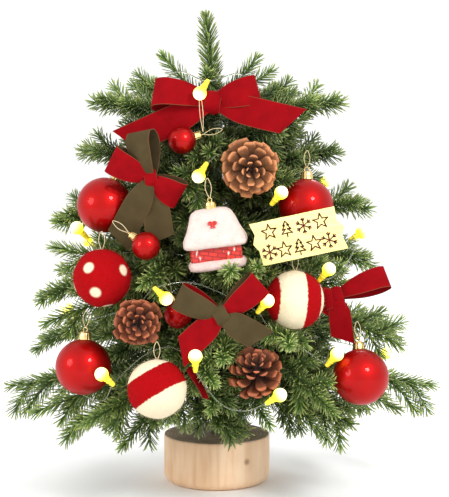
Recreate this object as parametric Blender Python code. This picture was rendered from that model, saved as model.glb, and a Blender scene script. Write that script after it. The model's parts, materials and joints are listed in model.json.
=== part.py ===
"""Artificial tabletop tree: a log base, a taped pole with wired-on branches, hung ornaments and a light string.

Metres, +Z up. The origin is the middle of the log's flat underside, and -Y is the decorated front.
An azimuth is in degrees, counted from +X towards +Y: 0 is right, 90 is the back, 180 left and 270 the front.
"""

import math

import bmesh
import bpy
from mathutils import Matrix, Vector

# Clearances
GAP = 0.0003
RUNNING_GAP = 0.0004

# Log base
BASE_RADIUS = 0.051
BASE_HEIGHT = 0.046
BASE_FOOT_ROUND = 0.009
BASE_TOP_CHAMFER = 0.0008
BORE_DEPTH = 0.034

# Pole: a bare spigot in the log, and a taped length above it
SPIGOT_RADIUS = 0.004
POLE_RADIUS = 0.0055
POLE_TOP = 0.345

# Branches: a wire stem wound onto the pole, with foliage tufts on it
STEM_ROOT_RADIUS = 0.0015
TUFT_RADIUS = 0.0046
TIP_RADIUS = 0.0009
ROOT_CLEARANCE = 0.0008
STEM_ARCH = 0.006
TWIG_LENGTH = 0.056
TWIG_FULL_REACH = 0.2
TWIG_YAW = 41
TWIG_PLACES = (0.36, 0.50, 0.64, 0.78)
TWIG_SHORTENING = 0.45
TWIG_SWELL_PLACES = (0, 0.4, 1)
TUFT_SIDES = 5
# How full the foliage is along a stem, from the bare root to the tip
STEM_FULLNESS = (0, 0.15, 0.75, 1, 1, 0.8, 0)

# Each tier: name, root height, twig pitch, and (azimuth, reach, tip height) for each branch
TIERS = (
    ("skirt", 0.104, -36, (
        (357, 0.212, 0.094),
        (52, 0.190, 0.086),
        (126, 0.186, 0.086),
        (183, 0.203, 0.093),
        (222, 0.176, 0.078),
        (271, 0.122, 0.078),
        (317, 0.172, 0.078),
    )),
    ("lower", 0.150, -14, (
        (11, 0.178, 0.146),
        (52, 0.166, 0.150),
        (130, 0.166, 0.150),
        (172, 0.174, 0.134),
        (239, 0.112, 0.156),
        (299, 0.118, 0.156),
    )),
    ("middle", 0.196, -4, (
        (352, 0.148, 0.218),
        (48, 0.146, 0.208),
        (134, 0.146, 0.208),
        (196, 0.174, 0.184),
    )),
    ("upper", 0.243, 6, (
        (347, 0.146, 0.268),
        (62, 0.130, 0.262),
        (124, 0.130, 0.262),
        (196, 0.158, 0.256),
    )),
    ("high", 0.288, 10, (
        (6, 0.112, 0.314),
        (92, 0.112, 0.316),
        (176, 0.132, 0.316),
    )),
    ("top", 0.332, 14, (
        (3, 0.116, 0.361),
        (40, 0.092, 0.372),
        (142, 0.100, 0.379),
        (184, 0.114, 0.361),
    )),
)

# Crown: the leader shoot with short shoots round its foot, each given by its tip above the pole's top
LEADER_TIP = (-0.0106, 0, 0.1045)
CROWN_SHOOT_TIPS = (
    (-0.050, 0.004, 0.060),
    (0.037, -0.006, 0.057),
    (0.052, 0.020, 0.046),
    (-0.006, 0.046, 0.051),
    (-0.008, -0.040, 0.043),
)
LEADER_PLACES = (0, 0.15, 0.45, 0.75, 1)
LEADER_RADII = (0.0030, 0.0035, TUFT_RADIUS, TUFT_RADIUS, TIP_RADIUS)
CROWN_SHOOT_PLACES = (0, 0.35, 0.75, 1)
CROWN_SHOOT_RADII = (0.0015, 0.0032, 0.0034, TIP_RADIUS)
CROWN_SHOOT_RISE = 0.013
CROWN_SHOOT_STEP = 0.006

# Glossy balls with a crimped cap
BALL_RADIUS = 0.0245
BALL_WALL = 0.0012
BALL_NECK_TURN = 0.4
NECK_RADIUS = 0.0040
CAP_RADIUS = 0.0058
CAP_HEIGHT = 0.0062
CAP_LIP = 0.0012
CAP_CROWN = 0.92
CAP_TOP_WALL = 0.0016
SMALL_BALL_RADIUS = 0.0123
SMALL_CAP_RADIUS = 0.0040
SMALL_CAP_HEIGHT = 0.0058
LOOP_LENGTH = 0.016

# Felt balls
FELT_RADIUS = 0.0258
FELT_LOOP_LENGTH = 0.012

# Hung balls: the place where each leans on its neighbour, the way from there to its centre,
# and the way from its centre to its cap, straight up unless the ball lies over
BALLS = (
    ("ball_1", (-0.0798, -0.1097, 0.2676), (-0.78, 0.6, 0.16), (0.45, 0.1, 0.9)),
    ("ball_2", (0.058, -0.0895, 0.261), (0.5, 0.1, 0.2), (0.02, 0.1, 1.0)),
    ("ball_3", (-0.1105, -0.1226, 0.1077), (-0.25, -0.1, 1.0), (0.06, 0.12, 1.0)),
    ("ball_4", (0.111, -0.1239, 0.141), (0.65, -0.25, -0.72), (-0.05, 0.35, 0.95)),
)
# Smaller hung pieces: centre, and the way from it to the cap
SMALL_BALLS = (
    ("small_ball_1", (-0.0300, -0.0960, 0.3290), (0.94, 0.10, 0.25)),
    ("small_ball_2", (-0.0604, -0.1300, 0.2384), (-0.70, 0.20, 0.50)),
    ("small_ball_3", (-0.0330, -0.1210, 0.1770), (-0.30, 0.30, 0.80)),
)
FELT_BALLS = (
    ("felt_ball_dotted", (-0.0992, -0.1250, 0.2099)),
    ("felt_ball_striped_1", (0.0687, -0.1350, 0.1919)),
    ("felt_ball_striped_2", (-0.0499, -0.1650, 0.1193)),
)

# House ornament: half width, half depth and height of each ring of its moulded outline
HOUSE_CENTRE = (0.0022, -0.1350, 0.2190)
HOUSE_LEAN = -7
HOUSE_RINGS = (
    (0.0240, 0.0160, 0.0000),
    (0.0250, 0.0170, 0.0070),
    (0.0225, 0.0140, 0.0085),
    (0.0225, 0.0140, 0.0195),
    (0.0275, 0.0200, 0.0210),
    (0.0268, 0.0190, 0.0270),
    (0.0172, 0.0100, 0.0490),
    (0.0130, 0.0065, 0.0530),
)
HOUSE_CORNER = 0.25
HOUSE_NECK_SUNK = 0.0010
HOUSE_NECK_RADIUS = 0.0042
HOUSE_NECK_HEIGHT = 0.0070

# Sign board: a sawn plaque with broken ends
SIGN_CENTRE = (0.0710, -0.1480, 0.2485)
SIGN_HALF_LENGTH = 0.0395
SIGN_HALF_HEIGHT = 0.0188
SIGN_THICKNESS = 0.0030
SIGN_LEAN = -12
SIGN_NOTCH = 0.0048

# Pine cones: centre, the way the open end faces, radius and length
CONE_RADIUS = 0.0265
CONE_LENGTH = 0.034
CONE_ROWS = 5
CONE_WAIST = 0.80
CONE_OUTLINE_START = 0.16
CONE_OUTLINE_SPAN = 0.68
CONES = (
    ("pine_cone_1", (0.0299, -0.1080, 0.3050), (0.05, -1.0, -0.10), 1.00),
    ("pine_cone_2", (-0.0675, -0.1480, 0.1739), (0.10, -1.0, 0.10), 0.82),
    ("pine_cone_3", (0.0345, -0.1560, 0.1323), (0.00, -0.7, 0.70), 0.90),
)

# Bows: centre, turn about the view line, ribbon width, loops and tails as (length, turn)
RIBBON_THICKNESS = 0.0012
LOOP_DEPTH = 0.013
KNOT_HALF = 0.0055
TAIL_SPREAD = 0.9
TAIL_WIDTH_SHARE = 0.92
BOWS = (
    ("bow_top", (-0.0030, -0.0860, 0.3620), 0.026,
     ((0.051, 172), (0.042, 18)), ((0.076, 200), (0.076, -10))),
    ("bow_left", (-0.0565, -0.1150, 0.2960), 0.021,
     ((0.037, 153), (0.029, -30), (0.040, 102)), ((0.052, 243), (0.042, 273))),
    ("bow_centre", (0.0050, -0.1660, 0.1830), 0.022,
     ((0.040, 155), (0.042, 41)), ((0.038, -32), (0.044, 222))),
    ("bow_right", (0.1065, -0.1130, 0.1930), 0.019,
     ((0.046, 20), (0.013, 193)), ((0.038, 278), (0.020, 258))),
)

# Battery box, behind the pole, with its cover facing outwards and its lead and switch on top
BOX_CENTRE = (0.0, 0.0450, 0.2000)
CELL_RADIUS = 0.0071
CELL_LENGTH = 0.0500
CELL_BUTTON_SHARE = 0.4
CELL_BUTTON_HEIGHT = 0.0012
BOX_WALL = 0.0016
BOX_SIDE_ROOM = 0.0022
BOX_COVER_ROOM = 0.0032
BOX_HEAD = 0.0112
BOX_WIDTH = 4 * CELL_RADIUS + 2 * BOX_SIDE_ROOM + 2 * BOX_WALL
BOX_DEPTH = 2 * CELL_RADIUS + BOX_COVER_ROOM + BOX_WALL
BOX_HEIGHT = CELL_LENGTH + 4 * GAP + BOX_WALL + BOX_HEAD
COVER_THICKNESS = 0.0018
SWITCH_PLACE = 0.0070
SWITCH_LENGTH = 0.0060
SWITCH_WIDTH = 0.0050
SWITCH_TRAVEL = 0.0030
SWITCH_HEIGHT = 0.0056
SWITCH_DEPTH = 0.0032
LEAD_PLACE = -0.0090

# Light string: a thin clear lead through the branches, with lamps moulded onto it
WIRE_RADIUS = 0.0009
WIRE_STEP = 0.025
LAMP_RADIUS = 0.0060
SOCKET_RADIUS = 0.0028
LAMP_OUTLINE = ((SOCKET_RADIUS / LAMP_RADIUS, 0.88), (1, 0.08), (0.76, -0.65), (0, -1))
SOCKET_REACH = 0.0135
SOCKET_END = 0.0015

# Each lamp, from the box to the far end: the globe's centre, and the way from it to its socket
LAMPS = (
    ((-0.0080, 0.0660, 0.3420), (0.10, -0.75, -0.65)),
    ((-0.0140, -0.1050, 0.3700), (0.50, 0.30, 0.80)),
    ((-0.0150, -0.1150, 0.2980), (0.50, 0.30, 0.80)),
    ((0.0570, -0.1200, 0.2840), (-0.60, 0.30, -0.75)),
    ((0.1040, 0.0180, 0.2860), (-0.80, -0.10, -0.60)),
    ((0.0300, 0.0880, 0.2960), (-0.30, -0.75, -0.60)),
    ((-0.1260, -0.0700, 0.2490), (0.70, 0.20, -0.70)),
    ((0.0990, -0.1200, 0.2170), (-0.60, 0.30, -0.75)),
    ((0.1380, 0.0060, 0.2380), (-0.80, -0.20, -0.50)),
    ((0.0360, 0.1240, 0.2240), (-0.30, -0.80, -0.50)),
    ((-0.1280, 0.0560, 0.2260), (0.80, -0.30, -0.50)),
    ((-0.1350, -0.0800, 0.1770), (0.70, 0.20, -0.70)),
    ((-0.0425, -0.1500, 0.1950), (-0.70, 0.30, 0.60)),
    ((0.0440, -0.1650, 0.1950), (-0.60, 0.30, -0.75)),
    ((0.1050, -0.1400, 0.1450), (-0.60, 0.30, -0.75)),
    ((0.1600, -0.0280, 0.1280), (-0.80, 0.10, -0.60)),
    ((-0.0920, 0.1360, 0.1270), (0.50, -0.70, -0.50)),
    ((-0.0970, -0.1650, 0.1320), (0.70, 0.20, -0.70)),
    ((-0.0170, -0.1750, 0.1490), (0.00, 0.30, -1.00)),
    ((0.0545, -0.1750, 0.1160), (-0.80, 0.20, -0.55)),
)

# The lead's way round the tree, downwards from the box. A number is the socket of that lamp, from 0.
LEAD_ROUTE = (
    (-0.010, 0.045, 0.243), (-0.016, 0.046, 0.262), (-0.026, 0.042, 0.290), (-0.024, 0.042, 0.318), 0,
    (0.022, 0.044, 0.326), (0.048, 0.005, 0.325), (0.044, -0.040, 0.338), (0.038, -0.066, 0.366),
    (0.022, -0.080, 0.387), 1, (-0.034, -0.088, 0.389), (-0.052, -0.068, 0.372), (-0.058, -0.052, 0.342),
    (-0.040, -0.078, 0.312), (-0.024, -0.092, 0.301), 2, (0.006, -0.090, 0.316), (0.036, -0.080, 0.300),
    (0.050, -0.092, 0.282), 3, (0.044, -0.090, 0.266), (0.044, -0.060, 0.266), (0.070, -0.012, 0.280), 4,
    (0.072, 0.044, 0.280), 5, (-0.006, 0.086, 0.284), (-0.050, 0.066, 0.280), (-0.078, 0.024, 0.279),
    (-0.066, -0.018, 0.278), (-0.056, -0.044, 0.256), (-0.082, -0.054, 0.238), 6,
    (-0.100, -0.068, 0.226), (-0.062, -0.072, 0.228), (-0.024, -0.092, 0.226), (0.020, -0.098, 0.224),
    (0.062, -0.100, 0.220), 7, (0.112, -0.096, 0.214), (0.128, -0.060, 0.234), 8, (0.108, 0.046, 0.230),
    (0.072, 0.088, 0.226), 9, (-0.012, 0.112, 0.224), (-0.062, 0.092, 0.230), 10, (-0.124, 0.020, 0.196),
    (-0.134, -0.004, 0.170), (-0.140, -0.036, 0.164), 11, (-0.106, -0.092, 0.170), (-0.070, -0.108, 0.184),
    12, (-0.024, -0.141, 0.208), (0.002, -0.142, 0.200), (0.022, -0.147, 0.190), 13,
    (0.044, -0.148, 0.172), (0.060, -0.128, 0.160), (0.080, -0.124, 0.145), 14, (0.096, -0.108, 0.132),
    (0.104, -0.074, 0.128), 15, (0.150, 0.030, 0.120), (0.118, 0.092, 0.120), (0.064, 0.132, 0.118),
    (0.002, 0.144, 0.120), (-0.048, 0.136, 0.118), 16, (-0.124, 0.084, 0.120), (-0.148, 0.034, 0.119),
    (-0.150, -0.024, 0.120), (-0.138, -0.072, 0.114), (-0.118, -0.108, 0.103), (-0.098, -0.138, 0.104),
    17, (-0.078, -0.138, 0.130), (-0.062, -0.132, 0.143), (-0.042, -0.138, 0.151), (-0.026, -0.154, 0.147),
    18, (-0.006, -0.166, 0.118), (0.008, -0.160, 0.103), (0.026, -0.164, 0.100), 19,
)


def clear_scene():
    for obj in list(bpy.data.objects):
        bpy.data.objects.remove(obj, do_unlink=True)


def material(name, colour, roughness, metallic=0.0):
    made = bpy.data.materials.new(name)
    made.use_nodes = True
    shader = made.node_tree.nodes["Principled BSDF"]
    shader.inputs["Base Color"].default_value = (*colour, 1.0)
    shader.inputs["Roughness"].default_value = roughness
    shader.inputs["Metallic"].default_value = metallic
    return made


def add_object(name, bm, finish, parent=None):
    """A named object from a bmesh, whose faces are turned outwards."""
    bmesh.ops.recalc_face_normals(bm, faces=bm.faces)
    mesh = bpy.data.meshes.new(name)
    bm.to_mesh(mesh)
    bm.free()
    mesh.materials.append(finish)
    obj = bpy.data.objects.new(name, mesh)
    bpy.context.scene.collection.objects.link(obj)
    if parent:
        obj.parent = parent
    return obj


def add_pivot(name, place, turn=None):
    """An empty on a joint's axis."""
    pivot = bpy.data.objects.new(name, None)
    pivot.location = place
    if turn:
        pivot.rotation_mode = "QUATERNION"
        pivot.rotation_quaternion = turn
    bpy.context.scene.collection.objects.link(pivot)
    return pivot


def combine(obj, other, operation):
    """Joins other to obj, or cuts it away, and removes other."""
    step = obj.modifiers.new(operation.lower(), "BOOLEAN")
    step.operation = operation
    step.object = other
    bpy.context.view_layer.update()
    graph = bpy.context.evaluated_depsgraph_get()
    result = bpy.data.meshes.new_from_object(obj.evaluated_get(graph))
    obj.modifiers.remove(step)
    obj.data = result
    bpy.data.objects.remove(other, do_unlink=True)


def ring_points(radius, sides, height=0.0, start=0.0):
    step = 2 * math.pi / sides
    return [
        Vector((radius * math.cos(start + i * step), radius * math.sin(start + i * step), height))
        for i in range(sides)
    ]


def skin_rings(bm, rings):
    """Side faces between rings of equal length, and an n-gon on each end."""
    verts = [[bm.verts.new(p) for p in ring] for ring in rings]
    for low, high in zip(verts, verts[1:]):
        for i in range(len(low)):
            j = (i + 1) % len(low)
            bm.faces.new((low[i], low[j], high[j], high[i]))
    bm.faces.new(verts[0][::-1])
    bm.faces.new(verts[-1])


def turned(bm, profile, sides, matrix=None):
    """A solid of revolution about Z from (radius, height) points. A point at radius 0 closes an end."""
    made = []
    for radius, height in profile:
        if radius == 0:
            made.append([bm.verts.new((0, 0, height))])
        else:
            made.append([bm.verts.new(p) for p in ring_points(radius, sides, height)])
    for low, high in zip(made, made[1:]):
        for i in range(sides):
            j = (i + 1) % sides
            corners = [low[i % len(low)], low[j % len(low)], high[j % len(high)], high[i % len(high)]]
            unique = list(dict.fromkeys(corners))
            if len(unique) > 2:
                bm.faces.new(unique)
    if matrix:
        bmesh.ops.transform(bm, matrix=matrix, verts=[v for ring in made for v in ring])


def frame_along(direction):
    """A rotation that takes +Z to the direction."""
    return Vector(direction).normalized().to_track_quat("Z", "Y")


def tapered_tube(bm, path, radii, sides):
    """A tube with a radius at each path point and flat ends."""
    rings = []
    for i, point in enumerate(path):
        ahead = path[min(i + 1, len(path) - 1)] - path[max(i - 1, 0)]
        turn = frame_along(ahead)
        rings.append([point + turn @ p for p in ring_points(radii[i], sides)])
    skin_rings(bm, rings)


def bend_path(start, end, arch, steps):
    """Points from start to end on a low arch."""
    return [
        start.lerp(end, i / steps) + Vector((0, 0, 4 * arch * (i / steps) * (1 - i / steps)))
        for i in range(steps + 1)
    ]


def compass(azimuth):
    return Vector((math.cos(math.radians(azimuth)), math.sin(math.radians(azimuth)), 0))


def build_base(wood):
    """The log: a turned block with a rounded foot and a blind hole for the pole."""
    bore = SPIGOT_RADIUS + RUNNING_GAP
    floor = BASE_HEIGHT - BORE_DEPTH
    steps = 3
    foot = [
        (
            BASE_RADIUS - BASE_FOOT_ROUND * (1 - math.sin(math.pi / 2 * i / steps)),
            BASE_FOOT_ROUND * (1 - math.cos(math.pi / 2 * i / steps)),
        )
        for i in range(steps + 1)
    ]
    profile = [
        (0, 0),
        *foot,
        (BASE_RADIUS, BASE_HEIGHT - BASE_TOP_CHAMFER),
        (BASE_RADIUS - BASE_TOP_CHAMFER, BASE_HEIGHT),
        (bore, BASE_HEIGHT),
        (bore, floor),
        (0, floor),
    ]
    bm = bmesh.new()
    turned(bm, profile, 32)
    add_object("wood_base", bm, wood)


def build_pole(tape):
    """The pole: its spigot stands in the log, and its shoulder just clears the log's top."""
    foot = BASE_HEIGHT - BORE_DEPTH + GAP
    shoulder = BASE_HEIGHT + GAP
    profile = [
        (0, foot),
        (SPIGOT_RADIUS, foot),
        (SPIGOT_RADIUS, shoulder),
        (POLE_RADIUS, shoulder),
        (POLE_RADIUS, POLE_TOP),
        (0, POLE_TOP),
    ]
    bm = bmesh.new()
    turned(bm, profile, 12)
    add_object("trunk_pole", bm, tape)


def twig_paths(stem, azimuth, reach, pitch, first_side):
    """The foliage twigs that leave the stem to both sides in turn."""
    for k, place in enumerate(TWIG_PLACES):
        side = first_side if k % 2 == 0 else -first_side
        heading = compass(azimuth + side * TWIG_YAW)
        rise = math.radians(pitch)
        direction = heading * math.cos(rise) + Vector((0, 0, math.sin(rise)))
        length = TWIG_LENGTH * math.sqrt(reach / TWIG_FULL_REACH) * (1.1 - TWIG_SHORTENING * place)
        position = place * (len(stem) - 1)
        near = int(position)
        root = stem[near].lerp(stem[near + 1], position - near)
        yield [root + direction * length * share for share in TWIG_SWELL_PLACES]


def build_branch(name, root, azimuth, reach, tip_height, pitch, first_side, green):
    """A stem from the pole's side to its tip, with its twigs, as one piece about its root."""
    outwards = compass(azimuth)
    pivot = outwards * (POLE_RADIUS + ROOT_CLEARANCE + STEM_ROOT_RADIUS) + Vector((0, 0, root))
    start = pivot - outwards * STEM_ROOT_RADIUS
    end = outwards * reach + Vector((0, 0, tip_height))
    stem = bend_path(start, end, STEM_ARCH, 6)
    radii = [STEM_ROOT_RADIUS + share * (TUFT_RADIUS - STEM_ROOT_RADIUS) for share in STEM_FULLNESS]
    radii[-1] = TIP_RADIUS
    stem_bm = bmesh.new()
    tapered_tube(stem_bm, [p - pivot for p in stem], radii, TUFT_SIDES)
    branch = add_object(name, stem_bm, green)
    branch.location = pivot
    twig_bm = bmesh.new()
    twig_radii = (STEM_ROOT_RADIUS, TUFT_RADIUS, TIP_RADIUS)
    for path in twig_paths(stem, azimuth, reach, pitch, first_side):
        tapered_tube(twig_bm, [p - pivot for p in path], twig_radii, TUFT_SIDES)
    twigs = add_object(name + "_twigs", twig_bm, green)
    twigs.location = pivot
    combine(branch, twigs, "UNION")


def build_branches(green):
    for tier, root, pitch, rows in TIERS:
        for number, (azimuth, reach, tip_height) in enumerate(rows, 1):
            # neighbours are mirror images, so that their twigs interleave
            first_side = 1 if number % 2 else -1
            name = f"{tier}_branch_{number}"
            build_branch(name, root, azimuth, reach, tip_height, pitch, first_side, green)


def build_crown(green):
    """The leader shoot on top of the pole, with the short shoots round its foot."""
    pole_end = Vector((0, 0, POLE_TOP))
    foot = pole_end + Vector((0, 0, GAP))
    tip = pole_end + Vector(LEADER_TIP)
    leader_bm = bmesh.new()
    leader = [foot.lerp(tip, place) for place in LEADER_PLACES]
    tapered_tube(leader_bm, leader, LEADER_RADII, TUFT_SIDES)
    crown = add_object("crown_leader", leader_bm, green)
    shoots_bm = bmesh.new()
    for i, end in enumerate(CROWN_SHOOT_TIPS):
        # the shoots leave the leader one above another
        root = foot.lerp(tip, (CROWN_SHOOT_RISE + i * CROWN_SHOOT_STEP) / LEADER_TIP[2])
        path = [root.lerp(pole_end + Vector(end), place) for place in CROWN_SHOOT_PLACES]
        tapered_tube(shoots_bm, path, CROWN_SHOOT_RADII, TUFT_SIDES)
    shoots = add_object("crown_shoots", shoots_bm, green)
    combine(crown, shoots, "UNION")


def arc_profile(radius, start, end, steps):
    """(radius, height) points of a circle about the origin, angles in degrees from the top."""
    points = []
    for i in range(steps + 1):
        angle = math.radians(start + (end - start) * i / steps)
        points.append((radius * math.sin(angle), radius * math.cos(angle)))
    return points


def shell_profile(radius, wall, neck):
    """A hollow ball that is open at its neck."""
    outer_start = math.degrees(math.asin(neck / radius))
    inner = radius - wall
    inner_start = math.degrees(math.asin((neck - wall * BALL_NECK_TURN) / inner))
    outside = arc_profile(radius, outer_start, 180, 7)
    inside = arc_profile(inner, 180, inner_start, 6)
    outside[-1] = (0, -radius)
    inside[0] = (0, -inner)
    return outside + inside


def hung_frame(name, centre, upwards, reach):
    """An empty where the loop hangs, turned so that its own -Z runs through the piece."""
    direction = Vector(upwards).normalized()
    return add_pivot(name + "_hook", Vector(centre) + direction * reach, frame_along(direction))


def build_ball(name, seat, lean, upwards, red, gold):
    """A blown ball on its loop's axis, and the crimped cap that covers its neck."""
    centre = Vector(seat) + Vector(lean).normalized() * BALL_RADIUS
    reach = BALL_RADIUS + CAP_HEIGHT + LOOP_LENGTH
    hook = hung_frame(name, centre, upwards, reach)
    bm = bmesh.new()
    turned(bm, shell_profile(BALL_RADIUS, BALL_WALL, NECK_RADIUS), 12)
    bmesh.ops.translate(bm, vec=(0, 0, -reach), verts=bm.verts)
    close_rim(bm)
    ball = add_object(name, bm, red, hook)
    ball.data.shade_smooth()
    build_cap(name.replace("ball", "ball_cap"), reach, gold, hook)


def close_rim(bm):
    """Joins the two open rims of a turned shell with a band of faces."""
    rims = [e for e in bm.edges if e.is_boundary]
    bmesh.ops.bridge_loops(bm, edges=rims)


def build_cap(name, reach, gold, hook):
    """A cup over the ball's neck, with an open underside."""
    seat = BALL_RADIUS * math.cos(math.asin(min(1, CAP_RADIUS / BALL_RADIUS)))
    rim = seat + GAP * 2
    top = rim + CAP_HEIGHT
    inner = CAP_RADIUS - CAP_LIP
    crest = BALL_RADIUS + GAP * 2
    profile = [
        (0, top),
        (CAP_RADIUS * CAP_CROWN, top),
        (CAP_RADIUS, top - CAP_LIP),
        (CAP_RADIUS, rim),
        (inner, rim),
        (inner, max(crest, top - CAP_TOP_WALL)),
        (0, max(crest, top - CAP_TOP_WALL)),
    ]
    bm = bmesh.new()
    turned(bm, profile, 10, Matrix.Translation((0, 0, -reach)))
    add_object(name, bm, gold, hook)


def build_small_ball(name, centre, upwards, red):
    """A small ball with its cap moulded on."""
    reach = SMALL_BALL_RADIUS + SMALL_CAP_HEIGHT + LOOP_LENGTH
    hook = hung_frame(name, centre, upwards, reach)
    cap_angle = math.degrees(math.asin(SMALL_CAP_RADIUS / SMALL_BALL_RADIUS))
    top = SMALL_BALL_RADIUS + SMALL_CAP_HEIGHT
    profile = [(0, top), (SMALL_CAP_RADIUS, top)]
    profile += arc_profile(SMALL_BALL_RADIUS, cap_angle, 180, 6)
    profile[-1] = (0, -SMALL_BALL_RADIUS)
    bm = bmesh.new()
    turned(bm, profile, 12, Matrix.Translation((0, 0, -reach)))
    add_object(name, bm, red, hook).data.shade_smooth()


def build_felt_ball(name, centre, felt):
    """A solid ball of needled wool, hung on a thread."""
    reach = FELT_RADIUS + FELT_LOOP_LENGTH
    hook = hung_frame(name, centre, (0, 0, 1), reach)
    profile = arc_profile(FELT_RADIUS, 0, 180, 8)
    profile[0] = (0, FELT_RADIUS)
    profile[-1] = (0, -FELT_RADIUS)
    bm = bmesh.new()
    turned(bm, profile, 12, Matrix.Translation((0, 0, -reach)))
    add_object(name, bm, felt, hook).data.shade_smooth()


def build_house(paint):
    """A moulded cottage: foot, walls, overhanging snowy roof and a neck for its loop."""
    roof = HOUSE_RINGS[-1][2]
    reach = roof + HOUSE_NECK_HEIGHT + LOOP_LENGTH
    lean = Matrix.Rotation(math.radians(HOUSE_LEAN), 3, "Y")
    upwards = lean @ Vector((0, 0, 1))
    hook = hung_frame("house_ornament", HOUSE_CENTRE, upwards, reach)
    hook.rotation_quaternion = lean.to_quaternion()
    cut = 1 - HOUSE_CORNER
    outline = ((1, cut), (cut, 1), (-cut, 1), (-1, cut), (-1, -cut), (-cut, -1), (cut, -1), (1, -cut))
    rings = [
        [Vector((x * width, y * depth, height - reach)) for x, y in outline]
        for width, depth, height in HOUSE_RINGS
    ]
    bm = bmesh.new()
    skin_rings(bm, rings)
    house = add_object("house_ornament", bm, paint, hook)
    neck_bm = bmesh.new()
    base = roof - reach - HOUSE_NECK_SUNK
    neck_top = base + HOUSE_NECK_HEIGHT + HOUSE_NECK_SUNK
    turned(neck_bm, [(0, base), (HOUSE_NECK_RADIUS, base), (HOUSE_NECK_RADIUS, neck_top), (0, neck_top)], 10)
    neck = add_object("house_neck", neck_bm, paint, hook)
    combine(house, neck, "UNION")


def build_sign(wood):
    """A thin board with zigzag broken ends, leaning in the view plane."""
    length, height, notch = SIGN_HALF_LENGTH, SIGN_HALF_HEIGHT, SIGN_NOTCH
    outline = [
        (-length, height),
        (length - notch, height),
        (length - notch, height * 0.35),
        (length, 0),
        (length - notch * 0.6, -height * 0.4),
        (length, -height),
        (-length + notch, -height),
        (-length + notch * 0.8, -height * 0.30),
        (-length, 0.05 * height),
        (-length + notch * 0.6, height * 0.45),
    ]
    bm = bmesh.new()
    front = bm.faces.new([bm.verts.new((x, -SIGN_THICKNESS / 2, z)) for x, z in outline])
    grown = bmesh.ops.extrude_face_region(bm, geom=[front])
    moved = [v for v in grown["geom"] if isinstance(v, bmesh.types.BMVert)]
    bmesh.ops.translate(bm, vec=(0, SIGN_THICKNESS, 0), verts=moved)
    board = add_object("sign_board", bm, wood)
    board.location = SIGN_CENTRE
    board.rotation_euler = (0, math.radians(SIGN_LEAN), 0)


def build_cone(name, centre, facing, scale, brown):
    """A pine cone as rows of scales round a core, each row a step of its outline."""
    radius, length = CONE_RADIUS * scale, CONE_LENGTH * scale
    profile = [(0, -length / 2)]
    for row in range(CONE_ROWS):
        low = row / CONE_ROWS
        high = (row + 1) / CONE_ROWS
        swell = math.sin(math.pi * (CONE_OUTLINE_START + CONE_OUTLINE_SPAN * (low + high) / 2))
        profile.append((radius * swell * CONE_WAIST, length * (low - 0.5) + length * 0.02))
        profile.append((radius * swell, length * (high - 0.5) - length * 0.03))
    profile.append((0, length / 2))
    bm = bmesh.new()
    turned(bm, profile, 12)
    cone = add_object(name, bm, brown)
    cone.location = centre
    cone.rotation_mode = "QUATERNION"
    cone.rotation_quaternion = frame_along(facing)


def loop_outline(length, depth):
    """Plan of a ribbon loop: a drop that swells away from the knot."""
    points = [(0.0, -0.2), (0.0, 0.2), (0.35, 0.72), (0.72, 1.0), (0.94, 0.72)]
    points += [(1.0, 0.0), (0.94, -0.72), (0.72, -1.0), (0.35, -0.72)]
    return [(x * length, y * depth / 2) for x, y in points]


def ribbon_block(outline, width, turn, shift=0.0):
    """A plan outline raised to the ribbon's width, then turned about the view line."""
    bm = bmesh.new()
    low = [bm.verts.new((x, y + shift, -width / 2)) for x, y in outline]
    face = bm.faces.new(low)
    grown = bmesh.ops.extrude_face_region(bm, geom=[face])
    moved = [v for v in grown["geom"] if isinstance(v, bmesh.types.BMVert)]
    bmesh.ops.translate(bm, vec=(0, 0, width), verts=moved)
    bmesh.ops.rotate(bm, matrix=Matrix.Rotation(math.radians(-turn), 3, "Y"), verts=bm.verts)
    return bm


def build_bow(name, centre, width, loops, tails, ribbon):
    """A tied bow: its closed loops, two tails and the knot, as one soft piece."""
    bm = bmesh.new()
    bmesh.ops.create_cube(bm, size=2 * KNOT_HALF)
    bow = add_object(name, bm, ribbon)
    parts = [ribbon_block(loop_outline(length, LOOP_DEPTH), width, turn) for length, turn in loops]
    half = RIBBON_THICKNESS / 2
    for number, (length, turn) in enumerate(tails):
        flat = [(0, -half), (0, half), (length, half), (length, -half)]
        side = (0.5 - number) * TAIL_SPREAD * KNOT_HALF
        parts.append(ribbon_block(flat, width * TAIL_WIDTH_SHARE, turn, side))
    for part in parts:
        combine(bow, add_object(name + "_ribbon", part, ribbon), "UNION")
    bow.location = centre


def box_mesh(size, centre):
    bm = bmesh.new()
    bmesh.ops.create_cube(bm, size=1)
    bmesh.ops.scale(bm, vec=size, verts=bm.verts)
    bmesh.ops.translate(bm, vec=centre, verts=bm.verts)
    return bm


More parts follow.
